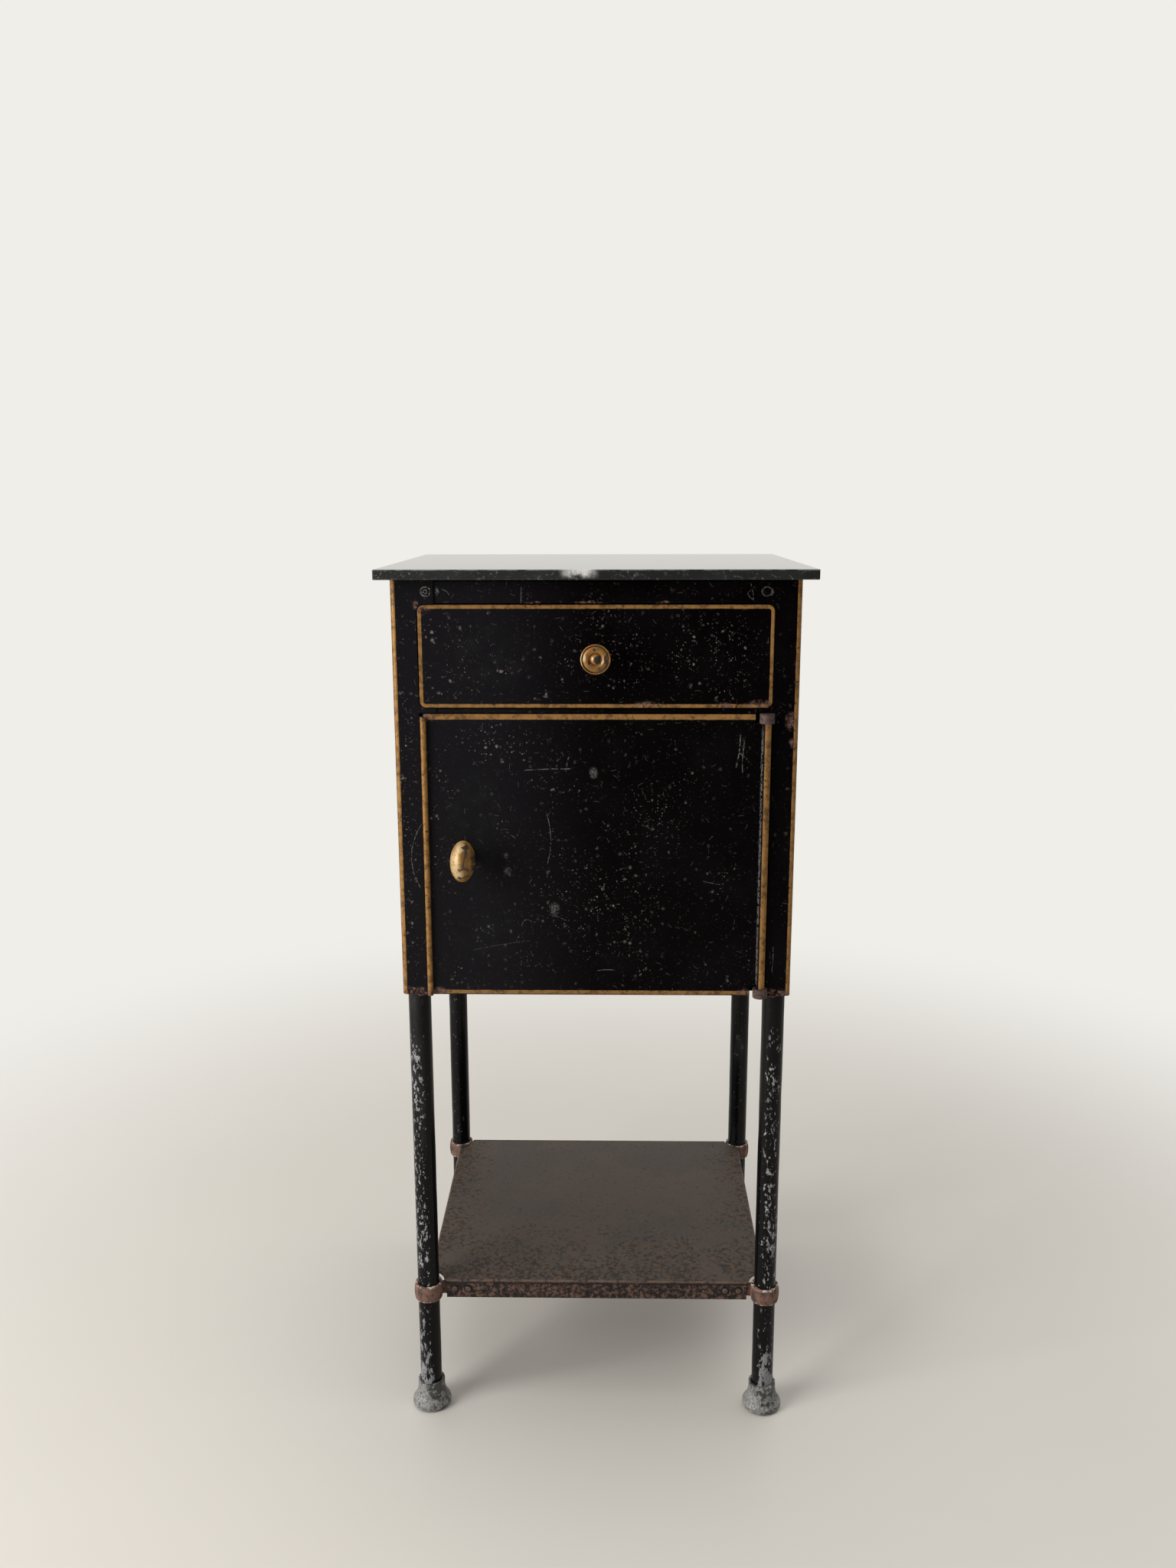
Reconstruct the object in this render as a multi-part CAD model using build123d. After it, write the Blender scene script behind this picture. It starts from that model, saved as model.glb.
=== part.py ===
from build123d import *
import math
import os

# Bedside cabinet of painted sheet steel on four tubular legs: a drawer over a cupboard, a stone top
# and an open shelf near the floor. Millimetres, +Z up, the front faces -Y.
# The origin is on the floor, at the centre of the overall box.

# Stone top
overall_height = 868.0
slab_thickness = 9.2
slab_arris = 0.8
slab_side_overhang = 13.0
slab_front_overhang = 13.0
slab_back_overhang = 3.0

# Sheet-steel case
case_width = 374.0
case_depth = 333.0
case_bottom = 461.0
sheet = 1.2
corner_radius = 4.0
stile_width = 23.7
tab_reach = 15.8
rear_return = 30.0
top_rail_height = 22.2
mid_rail_height = 4.1
rail_flange = 12.0
rail_end_gap = 0.7
bottom_lip_height = 14.0

# Flat sides of each turned or cast round form
turned_sides = 24

# Clearances
fit_clearance = 0.1
pin_clearance = 0.06
panel_gap = 0.8
running_clearance = 0.3
latch_clearance = 0.5
overrun = 5.0

# Legs
leg_diameter = 22.0
leg_wall = 1.5
leg_inset_side = 14.0
leg_inset_front = 15.0

# Cast feet
foot_height = 29.0
foot_floor = 5.0
foot_sleeve_diameter = 27.8
foot_sleeve_length = 10.7
foot_flange_diameter = 39.8
foot_flange_low = 4.5
foot_flange_high = 8.5
foot_shoulder_diameter = 35.0
foot_shoulder_height = 11.5
foot_base_diameter = 34.0

# Lower shelf with its cast collars
shelf_top = 143.0
apron_height = 20.0
shelf_bend = 2.4
apron_end_gap = 18.5
collar_diameter = 30.6
collar_end_diameter = 27.6
collar_height = 17.5
collar_gap = 0.6
ear_length = 47.0
ear_height = 13.5
ear_thickness = 4.0
ear_corner = 4.5

# Rivets
rivet_shank_diameter = 4.0
rivet_head_diameter = 7.0
rivet_head_height = 1.6
rivet_tail_diameter = 5.6
rivet_tail_height = 0.8
rivet_head_sides = 8
rivet_sides = 6
shelf_rivet_near = 26.7
shelf_rivet_far = 40.5
rail_rivet_inset = 8.8

# Drawer
drawer_height = 94.4
drawer_corner = 6.0
drawer_return = 8.0
drawer_edge = 0.8
tray_depth = 300.0
tray_height = 76.0
tray_bend = 6.0
tray_post_gap = 1.9
runner_flange = 14.0
runner_height = 25.0
runner_front_gap = 14.0

# Drawer knob, its stud and nut
knob_rim_diameter = 27.5
knob_rim_height = 2.2
knob_dish_diameter = 23.0
knob_dish_depth = 1.4
knob_ring_diameter = 21.4
knob_ring_top_diameter = 16.8
knob_neck_diameter = 9.6
knob_base_diameter = 15.0
knob_base_height = 2.2
knob_neck_height = 9.0
knob_length = 22.0
stud_diameter = 5.0
stud_head_diameter = 9.5
stud_head_height = 3.2
stud_end = 3.0
stud_nut_width = 8.0
stud_nut_height = 4.0

# Door with its rolled hinge barrel and wired edge
pin_diameter = 6.0
edge_wire_diameter = 3.0
wired_edge_short = 2.7
door_return = 10.0
door_bend = 1.0
hinge_notch_reach = 10.3

# Hinge lugs on the right front leg
lug_radius = 7.0
lug_height = 8.7
lug_gap = 0.4
lug_shank_half = 5.0
lug_depth = 12.2

# Latch: oval knob, spindle in a bush, tongue that turns behind the left front leg
latch_edge_inset = 39.2
latch_height_share = 0.51
oval_width = 23.4
oval_height = 40.0
oval_lean = 4.0
oval_bands = 4
oval_end_share = 0.3
door_knob_reach = 38.0
oval_neck_diameter = 10.0
oval_collar_diameter = 14.0
oval_collar_height = 3.0
spindle_diameter = 8.0
spindle_seat_depth = 9.0
spindle_square = 6.0
spindle_end_diameter = 5.0
spindle_end = 1.5
bush_diameter = 12.0
bush_flange_diameter = 18.0
bush_flange_height = 1.5
bush_length = 8.0
tongue_length = 52.0
tongue_width = 12.0
tongue_thickness = 3.0
latch_nut_width = 9.0
latch_nut_height = 4.5

# Places worked out from the sizes above
half_sheet = sheet / 2
slab_back_reach = case_depth + slab_back_overhang
foot_back_reach = case_depth - leg_inset_front + foot_flange_diameter / 2
overall_depth = door_knob_reach + max(slab_back_reach, foot_back_reach)
case_front = door_knob_reach - overall_depth / 2
case_back = case_front + case_depth
case_half = case_width / 2
case_top = overall_height - slab_thickness
case_height = case_top - case_bottom
inner_half = case_half - sheet
inner_back = case_back - sheet - sheet
opening_half = case_half - stile_width

leg_radius = leg_diameter / 2
leg_x = case_half - leg_inset_side
leg_front = case_front + leg_inset_front
leg_back = case_back - leg_inset_front
leg_middle = (leg_front + leg_back) / 2
leg_top = case_top - sheet
left_right = {"left": -1, "right": 1}
leg_rows = {"front": leg_front, "rear": leg_back}

drawer_opening_top = case_top - top_rail_height
drawer_top = drawer_opening_top - panel_gap
drawer_bottom = drawer_top - drawer_height
drawer_middle = (drawer_top + drawer_bottom) / 2
drawer_half = opening_half - panel_gap
divider_top = drawer_bottom - panel_gap
door_opening_top = divider_top - mid_rail_height
door_top = door_opening_top - panel_gap
door_back_gap = door_return + panel_gap + sheet

tray_bottom = drawer_bottom + sheet
tray_half = leg_x - leg_radius - tray_post_gap
tray_front = case_front + sheet
runner_thickness = tray_bottom - running_clearance - divider_top
runner_outer = leg_x - leg_radius - running_clearance

barrel_radius = pin_diameter / 2 + pin_clearance + sheet
wired_radius = edge_wire_diameter / 2 + pin_clearance + sheet
pin_x = drawer_half - panel_gap - barrel_radius
pin_y = case_front + sheet - barrel_radius
wire_x = wired_radius - drawer_half
wire_y = case_front + sheet - wired_radius
top_lug_bottom = door_opening_top - lug_height
bottom_lug_top = case_bottom + lug_height

latch_x = latch_edge_inset - drawer_half
latch_z = case_bottom + (door_opening_top - case_bottom) * latch_height_share
tongue_front = leg_front + leg_radius + latch_clearance
tongue_back = tongue_front + tongue_thickness

collar_middle = shelf_top - apron_height / 2
rivet_hole_radius = rivet_shank_diameter / 2 + fit_clearance

front_facing = Plane.XZ
side_facing = Plane.YZ


# Plain block between two opposite corners
def block(x_low, x_high, y_low, y_high, z_low, z_high):
    lengths = (x_high - x_low, y_high - y_low, z_high - z_low)
    corner = (Align.MIN, Align.MIN, Align.MIN)
    return Pos(x_low, y_low, z_low) * Box(*lengths, align=corner)


# Upright rod from one height to another
def upright_rod(x, y, radius, z_low, z_high):
    base = (Align.CENTER, Align.CENTER, Align.MIN)
    return Pos(x, y, z_low) * Cylinder(radius, z_high - z_low, align=base)


# Rod along the depth, from its front end to its back end
def level_rod(x, z, radius, y_front, y_back):
    outline = Pos(x, z) * Circle(radius)
    return Pos(0, y_back, 0) * extrude(front_facing * outline, amount=y_back - y_front)


# Hexagon bar along the depth, sized across its flats
def level_hexagon(x, z, width, y_front, y_back):
    outline = Pos(x, z) * RegularPolygon(width / 2, 6, major_radius=False)
    return Pos(0, y_back, 0) * extrude(front_facing * outline, amount=y_back - y_front)


# Strip of sheet along a line with rounded bends, as a flat outline
def folded_outline(points, bend):
    return trace(FilletPolyline(*points, radius=bend), line_width=sheet)


# Turned form with flat sides: bands between rings, each ring given by its radius and height.
# A band starts from its wider ring, so one that widens upwards is made upside down.
def turned(rings):
    flat_share = math.cos(math.pi / turned_sides)
    form = None
    for (radius, low), (next_radius, high) in zip(rings, rings[1:]):
        if high > low:
            draw_in = math.degrees(math.atan2(abs(radius - next_radius) * flat_share, high - low))
            wide = RegularPolygon(max(radius, next_radius), turned_sides)
            band = extrude(wide, amount=high - low, taper=draw_in)
            seat = Pos(0, 0, high) * Rot(X=180) if next_radius > radius else Pos(0, 0, low)
            form = seat * band if form is None else form + seat * band
    return form


# Upright form laid level, its height towards the front
def laid_to_front(form, x, y, z):
    return Pos(x, y, z) * (Rot(X=90) * form)


# The four corner bends of the case, which the flat panels inside it stay clear of
def corner_bends(z_low, z_high):
    bends = []
    for side in left_right.values():
        x_low, x_high = sorted((side * (case_half - corner_radius), side * case_half))
        bends.append(block(x_low, x_high, case_front, case_front + corner_radius, z_low, z_high))
        bends.append(block(x_low, x_high, case_back - corner_radius, case_back, z_low, z_high))
    return bends


# Square corner notches that let the four legs through a level panel
def leg_notches(z_low, z_high):
    reach = leg_radius + fit_clearance
    outer = case_half + overrun
    notches = []
    for side in left_right.values():
        x_low, x_high = sorted((side * (leg_x - reach), side * outer))
        front = case_front - overrun
        notches.append(block(x_low, x_high, front, leg_front + reach, z_low, z_high))
        notches.append(block(x_low, x_high, leg_back - reach, case_back + overrun, z_low, z_high))
    return notches


# Copy of a left-front piece at another corner: mirrored next door, turned half round to the far corner
def at_corner(piece, side, row):
    if side == "right" and row == "rear":
        return Pos(0, leg_middle, 0) * (Rot(Z=180) * (Pos(0, -leg_middle, 0) * piece))
    if side == "right":
        return mirror(piece, about=Plane.YZ)
    if row == "rear":
        return mirror(piece, about=Plane(origin=(0, leg_middle, 0), z_dir=(0, 1, 0)))
    return piece


# The same piece at all four corners, as a group of separate solids
def at_all_corners(piece):
    return Compound(children=[at_corner(piece, side, row) for row in leg_rows for side in left_right])


# Hammered rivet with a flat-sided head; the outer sheet's face is at height zero, the head above it
def rivet(grip):
    shank = RegularPolygon(rivet_shank_diameter / 2, rivet_sides)
    tail = RegularPolygon(rivet_tail_diameter / 2, rivet_sides)
    rim = RegularPolygon(rivet_head_diameter / 2, rivet_head_sides)
    top = Pos(0, 0, rivet_head_height) * RegularPolygon(rivet_shank_diameter / 2, rivet_head_sides)
    crown = loft([rim.face(), top.face()])
    through = extrude(shank, amount=-grip)
    end = extrude(Pos(0, 0, -grip) * tail, amount=-rivet_tail_height)
    return crown + through + end


# Where a rivet stands: its place on the outer face and the way that face looks
def shelf_rivet_seats():
    seats = []
    height = collar_middle
    half = (leg_back - leg_front) / 2
    for side in left_right.values():
        for end in (-1, 1):
            for away in (shelf_rivet_near, shelf_rivet_far):
                along_front = (side * (leg_x - away), leg_middle + end * half, height)
                along_side = (side * leg_x, leg_middle + end * (half - away), height)
                seats.append(Plane(origin=along_front, z_dir=(0, end, 0)))
                seats.append(Plane(origin=along_side, z_dir=(side, 0, 0)))
    return seats


def rail_rivet_seats():
    x = opening_half - rail_rivet_inset
    z = (drawer_opening_top + case_top) / 2
    return [Plane(origin=(side * x, case_front, z), z_dir=(0, -1, 0)) for side in left_right.values()]


def rivet_group(seats, grip):
    return Compound(children=[seat * rivet(grip) for seat in seats])


# Snug punched holes for the rivets, to the given depth on both sides of the outer face
def rivet_holes(seats, depth):
    hole = extrude(RegularPolygon(rivet_hole_radius, rivet_sides), amount=depth, both=True)
    return [seat * hole for seat in seats]


# Stone slab with a fine arris on every edge
def top_slab():
    half = case_half + slab_side_overhang
    front = case_front - slab_front_overhang
    slab = block(-half, half, front, case_back + slab_back_overhang, case_top, overall_height)
    return chamfer(slab.edges(), slab_arris)


# Tube leg from the foot's floor, through the case's floor, to the top sheet
def leg():
    bore = leg_radius - leg_wall
    tube = upright_rod(-leg_x, leg_front, leg_radius, foot_floor, leg_top)
    return tube - upright_rod(-leg_x, leg_front, bore, foot_floor - overrun, leg_top + overrun)


# Bell foot: a sleeve round the tube that flares over a shoulder to a flange, drawn in again at the floor
def foot():
    sleeve = foot_sleeve_diameter / 2
    flange = foot_flange_diameter / 2
    bell = turned([
        (foot_base_diameter / 2, 0),
        (flange, foot_flange_low),
        (flange, foot_flange_high),
        (foot_shoulder_diameter / 2, foot_shoulder_height),
        (sleeve, foot_height - foot_sleeve_length),
        (sleeve, foot_height),
    ])
    socket = upright_rod(0, 0, leg_radius + fit_clearance, foot_floor, foot_height + overrun)
    return Pos(-leg_x, leg_front, 0) * (bell - socket)


# Cast collar: a barrel-shaped ring round the leg with two ears behind the shelf's aprons
def shelf_collar():
    low = collar_middle - collar_height / 2
    high = collar_middle + collar_height / 2
    end = collar_end_diameter / 2
    ring = turned([(end, low), (collar_diameter / 2, collar_middle), (end, high)])
    z_low = collar_middle - ear_height / 2
    z_high = collar_middle + ear_height / 2
    ear = block(0, ear_length, sheet, sheet + ear_thickness, z_low, z_high)
    ear = chamfer(ear.faces().sort_by(Axis.X)[-1].edges().filter_by(Axis.Y), ear_corner)
    casting = ring + ear + mirror(ear, about=Plane(origin=(0, 0, 0), z_dir=(1, -1, 0)))
    casting -= upright_rod(0, 0, leg_radius + fit_clearance, low - overrun, high + overrun)
    return (Pos(-leg_x, leg_front, 0) * casting) - rivet_holes(shelf_rivet_seats(), ear_length)


# Shelf pressed from one sheet: a flat top with its edges folded down and its corners cut for the collars
def lower_shelf():
    z_low = shelf_top - apron_height
    tray = block(-leg_x, leg_x, leg_front, leg_back, z_low, shelf_top)
    tray = fillet(tray.faces().sort_by(Axis.Z)[-1].edges(), shelf_bend)
    tray -= block(
        sheet - leg_x, leg_x - sheet, leg_front + sheet, leg_back - sheet, z_low - overrun, shelf_top - sheet
    )
    for side in left_right.values():
        for row in leg_rows.values():
            x = side * leg_x
            tray -= block(
                x - apron_end_gap, x + apron_end_gap, row - apron_end_gap, row + apron_end_gap,
                z_low - overrun, shelf_top - sheet,
            )
            tray -= upright_rod(x, row, collar_diameter / 2 + collar_gap, z_low, shelf_top + overrun)
    return tray - rivet_holes(shelf_rivet_seats(), sheet + ear_thickness)


# Left side of the case: rear return, side wall and front stile bent from one sheet.
# The drawer and door openings are cut out of it and leave the stile two short tabs.
def side_panel():
    line = [
        (rear_return - case_half, case_back - half_sheet),
        (half_sheet - case_half, case_back - half_sheet),
        (half_sheet - case_half, case_front + half_sheet),
        (tab_reach - opening_half, case_front + half_sheet),
    ]
    outline = folded_outline(line, corner_radius - half_sheet)
    panel = Pos(0, 0, case_bottom) * extrude(outline, amount=case_height)
    opening_height = drawer_opening_top - divider_top
    opening = Pos(0, (drawer_opening_top + divider_top) / 2) * RectangleRounded(
        opening_half + opening_half, opening_height, drawer_corner + panel_gap
    )
    cut_back = case_front + rail_flange
    panel -= Pos(0, cut_back, 0) * extrude(front_facing * opening, amount=rail_flange + overrun)
    panel -= block(
        -opening_half, opening_half, case_front - overrun, cut_back, case_bottom - overrun, door_opening_top
    )
    return panel - rivet_holes(rail_rivet_seats(), rail_flange)


# Flat back, welded inside the two rear returns
def back_panel():
    half = case_half - corner_radius
    return block(-half, half, inner_back, case_back - sheet, case_bottom, case_top)


# Floor of the cupboard, let in behind the door, with a lip that the closed door rests against
def bottom_panel():
    high = case_bottom + sheet
    lip_y = case_front + sheet + door_back_gap
    panel = block(-inner_half, inner_half, case_front + sheet, inner_back, case_bottom, high)
    panel -= block(-opening_half, opening_half, case_front, lip_y, case_bottom - overrun, high + overrun)
    lip_half = leg_x - leg_radius - panel_gap
    lip_right = pin_x - lug_radius - panel_gap
    panel += block(-lip_half, lip_right, lip_y, lip_y + sheet, case_bottom, case_bottom + bottom_lip_height)
    return panel - leg_notches(case_bottom - overrun, high + overrun)


# Panel between drawer and cupboard; its folded front edge is the thin rail over the door
def divider_panel():
    y_rail = case_front + sheet + half_sheet
    line = [
        (y_rail, door_opening_top),
        (y_rail, divider_top - half_sheet),
        (inner_back, divider_top - half_sheet),
    ]
    panel = extrude(side_facing * folded_outline(line, sheet), amount=inner_half, both=True)
    return panel - leg_notches(door_opening_top - overrun, divider_top + overrun)


# Sheet over the whole case, which the slab lies on
def top_sheet():
    panel = block(-inner_half, inner_half, case_front + sheet, inner_back, leg_top, case_top)
    return panel - corner_bends(leg_top - overrun, case_top + overrun)


# Channel rail over the drawer, its ends riveted behind the stiles' tabs
def top_rail():
    y_rail = case_front + sheet + half_sheet
    z_low = drawer_opening_top + half_sheet
    z_high = leg_top - half_sheet
    line = [
        (y_rail + rail_flange, z_low),
        (y_rail, z_low),
        (y_rail, z_high),
        (y_rail + rail_flange, z_high),
    ]
    half = leg_x - leg_radius - rail_end_gap
    rail = extrude(side_facing * folded_outline(line, sheet), amount=half, both=True)
    return rail - rivet_holes(rail_rivet_seats(), rail_flange)


# Left angle strip that carries the drawer tray and guides its side
def drawer_runner():
    outline = Polyline(
        (-runner_outer, divider_top),
        (runner_flange - runner_outer, divider_top),
        (runner_flange - runner_outer, divider_top + runner_thickness),
        (sheet - runner_outer, divider_top + runner_thickness),
        (sheet - runner_outer, divider_top + runner_height),
        (-runner_outer, divider_top + runner_height),
        close=True,
    )
    length = inner_back - case_front - runner_front_gap
    return Pos(0, inner_back, 0) * extrude(front_facing * make_face(outline), amount=length)


# Drawer front: a shallow pan with rounded corners, open at the back
def drawer_front():
    centre = Pos(0, drawer_middle)
    width = drawer_half + drawer_half
    back = case_front + drawer_return
    outer = centre * RectangleRounded(width, drawer_height, drawer_corner)
    inner = centre * RectangleRounded(
        width - sheet - sheet, drawer_height - sheet - sheet, drawer_corner - sheet
    )
    pan = Pos(0, back, 0) * extrude(front_facing * outer, amount=drawer_return)
    pan = chamfer(pan.faces().sort_by(Axis.Y)[0].edges(), drawer_edge)
    pan -= Pos(0, back, 0) * extrude(front_facing * inner, amount=drawer_return - sheet)
    return pan - level_rod(0, drawer_middle, stud_diameter / 2 + fit_clearance, case_front - overrun, back)


# U-shaped outline of the tray, rounded at its two lower edges
def tray_outline(half, bottom, top, bend):
    outline = Pos(0, (bottom + top) / 2) * Rectangle(half + half, top - bottom)
    return fillet(outline.vertices().group_by(Axis.Y)[0], bend)


# Open drawer tray, folded up from sheet
def drawer_tray():
    back = tray_front + tray_depth
    top = tray_bottom + tray_height
    outer = tray_outline(tray_half, tray_bottom, top, tray_bend)
    inner = tray_outline(tray_half - sheet, tray_bottom + sheet, top + overrun, tray_bend - sheet)
    tray = Pos(0, back, 0) * extrude(front_facing * outer, amount=tray_depth)
    tray -= Pos(0, back - sheet, 0) * extrude(front_facing * inner, amount=tray_depth - sheet - sheet)
    hole = stud_diameter / 2 + fit_clearance
    return tray - level_rod(0, drawer_middle, hole, tray_front - overrun, tray_front + overrun)


# Turned brass knob, drawn in to a waist, with a raised rim, a groove and a swelling ring on its face
def drawer_knob():
    bore = stud_diameter / 2 + fit_clearance
    base = knob_base_diameter / 2
    neck = knob_neck_diameter / 2
    rim = knob_rim_diameter / 2
    dish = knob_dish_diameter / 2
    recess = stud_head_diameter / 2 + fit_clearance
    floor = knob_length - knob_dish_depth
    knob = turned([
        (base, 0),
        (base, knob_base_height),
        (neck, knob_base_height),
        (neck, knob_neck_height),
        (rim, knob_length - knob_rim_height),
        (rim, knob_length),
    ])
    knob -= turned([(dish, floor), (dish, knob_length + overrun)])
    knob += turned([(knob_ring_diameter / 2, floor), (knob_ring_top_diameter / 2, knob_length)])
    knob -= turned([(recess, floor), (recess, knob_length + overrun)])
    knob -= upright_rod(0, 0, bore, -overrun, knob_length)
    return laid_to_front(knob, 0, case_front, drawer_middle)


# Stud through the knob and the drawer front, with a button head inside the knob's ring
def drawer_knob_stud():
    seat = knob_length - knob_dish_depth
    head = stud_head_diameter / 2
    shank = stud_diameter / 2
    end = -sheet - sheet - stud_nut_height - stud_end
    top = seat + stud_head_height
    stud = turned([(shank, end), (shank, seat), (head, seat), (shank, top)])
    return laid_to_front(stud, 0, case_front, drawer_middle)


def drawer_knob_nut():
    front = tray_front + sheet
    back = front + stud_nut_height
    hole = stud_diameter / 2 + fit_clearance
    nut = level_hexagon(0, drawer_middle, stud_nut_width, front, back)
    return nut - level_rod(0, drawer_middle, hole, front - overrun, back + overrun)


# Door sheet between a wired left edge and a rolled hinge barrel, folded back along its top and bottom
def door_panel():
    back = case_front + sheet + door_return
    panel = block(wire_x, pin_x, case_front, back, case_bottom, door_top)
    front_edges = panel.faces().sort_by(Axis.Y)[0].edges().filter_by(Axis.X)
    panel = fillet(front_edges, door_bend)
    panel -= block(
        wire_x - overrun, pin_x + overrun, case_front + sheet, back + overrun, case_bottom + sheet,
        door_top - sheet,
    )
    barrel_low = bottom_lug_top + lug_gap
    barrel_high = top_lug_bottom - lug_gap
    notch_x = pin_x - hinge_notch_reach
    for z_low, z_high in ((case_bottom - overrun, barrel_low), (barrel_high, door_top + overrun)):
        panel -= block(notch_x, pin_x + overrun, case_front - overrun, back + overrun, z_low, z_high)
    wire_high = door_top - wired_edge_short
    panel += upright_rod(pin_x, pin_y, barrel_radius, barrel_low, barrel_high)
    panel += upright_rod(wire_x, wire_y, wired_radius, case_bottom, wire_high)
    panel -= upright_rod(pin_x, pin_y, barrel_radius - sheet, barrel_low - overrun, barrel_high + overrun)
    panel -= upright_rod(wire_x, wire_y, wired_radius - sheet, case_bottom - overrun, wire_high)
    return panel - level_rod(latch_x, latch_z, bush_diameter / 2 + fit_clearance, case_front - overrun, back)


# Wire inside the door's rolled left edge
def door_edge_wire():
    return upright_rod(wire_x, wire_y, edge_wire_diameter / 2, case_bottom, door_top - wired_edge_short)


# Hinge lug: an eye round the pin and a shank beside the stile, coped to the leg behind it
def hinge_lug(z_low):
    right = opening_half - fit_clearance
    shank_centre = (pin_x - lug_shank_half + right) / 2
    shank_length = case_front + lug_depth - pin_y
    shank = Pos(shank_centre, pin_y + shank_length / 2) * Rectangle(
        right - pin_x + lug_shank_half, shank_length
    )
    stile_middle = Pos(right + stile_width / 2, case_front + stile_width / 2)
    stile = stile_middle * Rectangle(stile_width, stile_width)
    outline = Pos(pin_x, pin_y) * Circle(lug_radius) + shank - stile
    outline -= Pos(pin_x, pin_y) * Circle(pin_diameter / 2 + pin_clearance)
    outline -= Pos(leg_x, leg_front) * Circle(leg_radius + fit_clearance)
    return Pos(0, 0, z_low) * extrude(outline, amount=lug_height)


# Hinge pin through both lugs and the door's barrel
def hinge_pin():
    return upright_rod(pin_x, pin_y, pin_diameter / 2, case_bottom, door_opening_top)


# Flanged bush in the door that the latch spindle turns in
def latch_bush():
    bore = spindle_diameter / 2 + pin_clearance
    outside = bush_diameter / 2
    flange = bush_flange_diameter / 2
    bush = turned([(outside, -bush_length), (outside, 0), (flange, 0), (flange, bush_flange_height)])
    bush -= upright_rod(0, 0, bore, -bush_length - overrun, bush_flange_height + overrun)
    return laid_to_front(bush, latch_x, case_front, latch_z)


# Egg in bands evenly spaced in latitude, with a small flat at each end
def egg():
    band_angle = math.pi / 2 / (oval_bands + oval_end_share)
    latitudes = [band_angle * band for band in range(-oval_bands, oval_bands + 1)]
    return turned([
        (oval_width / 2 * math.cos(latitude), oval_height / 2 * math.sin(latitude)) for latitude in latitudes
    ])


# Egg-shaped knob on a short neck, leaning a little from the upright
def door_knob():
    low = bush_flange_height + running_clearance
    middle = case_front - door_knob_reach + oval_width / 2
    base = case_front - low
    stem = turned([
        (oval_collar_diameter / 2, 0),
        (oval_collar_diameter / 2, oval_collar_height),
        (oval_neck_diameter / 2, oval_collar_height),
        (oval_neck_diameter / 2, base - middle),
    ])
    knob = laid_to_front(stem, latch_x, base, latch_z)
    knob += Pos(latch_x, middle, latch_z) * (Rot(Y=oval_lean) * egg())
    seat = base - spindle_seat_depth
    hole = spindle_diameter / 2 + fit_clearance
    return knob - level_rod(latch_x, latch_z, hole, seat, case_front + overrun)


# Spindle through the bush, squared for the tongue and turned down for the nut
def latch_spindle():
    seat = case_front - bush_flange_height - running_clearance - spindle_seat_depth
    end = tongue_back + latch_nut_height + spindle_end
    shaft = level_rod(latch_x, latch_z, spindle_diameter / 2, seat, tongue_front)
    square = block(
        latch_x - spindle_square / 2, latch_x + spindle_square / 2, tongue_front, tongue_back,
        latch_z - spindle_square / 2, latch_z + spindle_square / 2,
    )
    return shaft + square + level_rod(latch_x, latch_z, spindle_end_diameter / 2, tongue_back, end)


# Flat tongue on the spindle, upright while the door is free to open
def latch_tongue():
    half = tongue_width / 2
    reach = tongue_length - half
    outline = Pos(latch_x, latch_z + reach / 2) * SlotCenterToCenter(reach, tongue_width, rotation=90)
    hole_width = spindle_square + fit_clearance + fit_clearance
    outline -= Pos(latch_x, latch_z) * Rectangle(hole_width, hole_width)
    return Pos(0, tongue_back, 0) * extrude(front_facing * outline, amount=tongue_thickness)


def latch_nut():
    back = tongue_back + latch_nut_height
    hole = spindle_end_diameter / 2 + fit_clearance
    nut = level_hexagon(latch_x, latch_z, latch_nut_width, tongue_back, back)
    return nut - level_rod(latch_x, latch_z, hole, tongue_back - overrun, back + overrun)


# Every piece by its name
def all_pieces():
    pieces = {}
    for row in leg_rows:
        for side in left_right:
            pieces[f"leg_{row}_{side}"] = at_corner(leg(), side, row)
    pieces["feet"] = at_all_corners(foot())
    pieces["shelf_collars"] = at_all_corners(shelf_collar())
    pieces["lower_shelf"] = lower_shelf()
    pieces["shelf_rivets"] = rivet_group(shelf_rivet_seats(), sheet + ear_thickness)
    pieces["left_side_panel"] = side_panel()
    pieces["right_side_panel"] = mirror(side_panel(), about=Plane.YZ)
    pieces["back_panel"] = back_panel()
    pieces["bottom_panel"] = bottom_panel()
    pieces["divider_panel"] = divider_panel()
    pieces["top_sheet"] = top_sheet()
    pieces["top_rail"] = top_rail()
    pieces["rail_rivets"] = rivet_group(rail_rivet_seats(), sheet + sheet)
    pieces["top_slab"] = top_slab()
    pieces["drawer_runner_left"] = drawer_runner()
    pieces["drawer_runner_right"] = mirror(drawer_runner(), about=Plane.YZ)
    pieces["hinge_lug_top"] = hinge_lug(top_lug_bottom)
    pieces["hinge_lug_bottom"] = hinge_lug(case_bottom)
    pieces["hinge_pin"] = hinge_pin()
    pieces["drawer_front"] = drawer_front()
    pieces["drawer_tray"] = drawer_tray()
    pieces["drawer_knob"] = drawer_knob()
    pieces["drawer_knob_stud"] = drawer_knob_stud()
    pieces["drawer_knob_nut"] = drawer_knob_nut()
    pieces["door_panel"] = door_panel()
    pieces["door_edge_wire"] = door_edge_wire()
    pieces["latch_bush"] = latch_bush()
    pieces["door_knob"] = door_knob()
    pieces["latch_spindle"] = latch_spindle()
    pieces["latch_tongue"] = latch_tongue()
    pieces["latch_nut"] = latch_nut()
    return pieces


os.makedirs("parts", exist_ok=True)
for name, piece in all_pieces().items():
    export_step(piece, f"parts/{name}.step")
    print(name, round(piece.volume))
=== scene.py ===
import math

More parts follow.
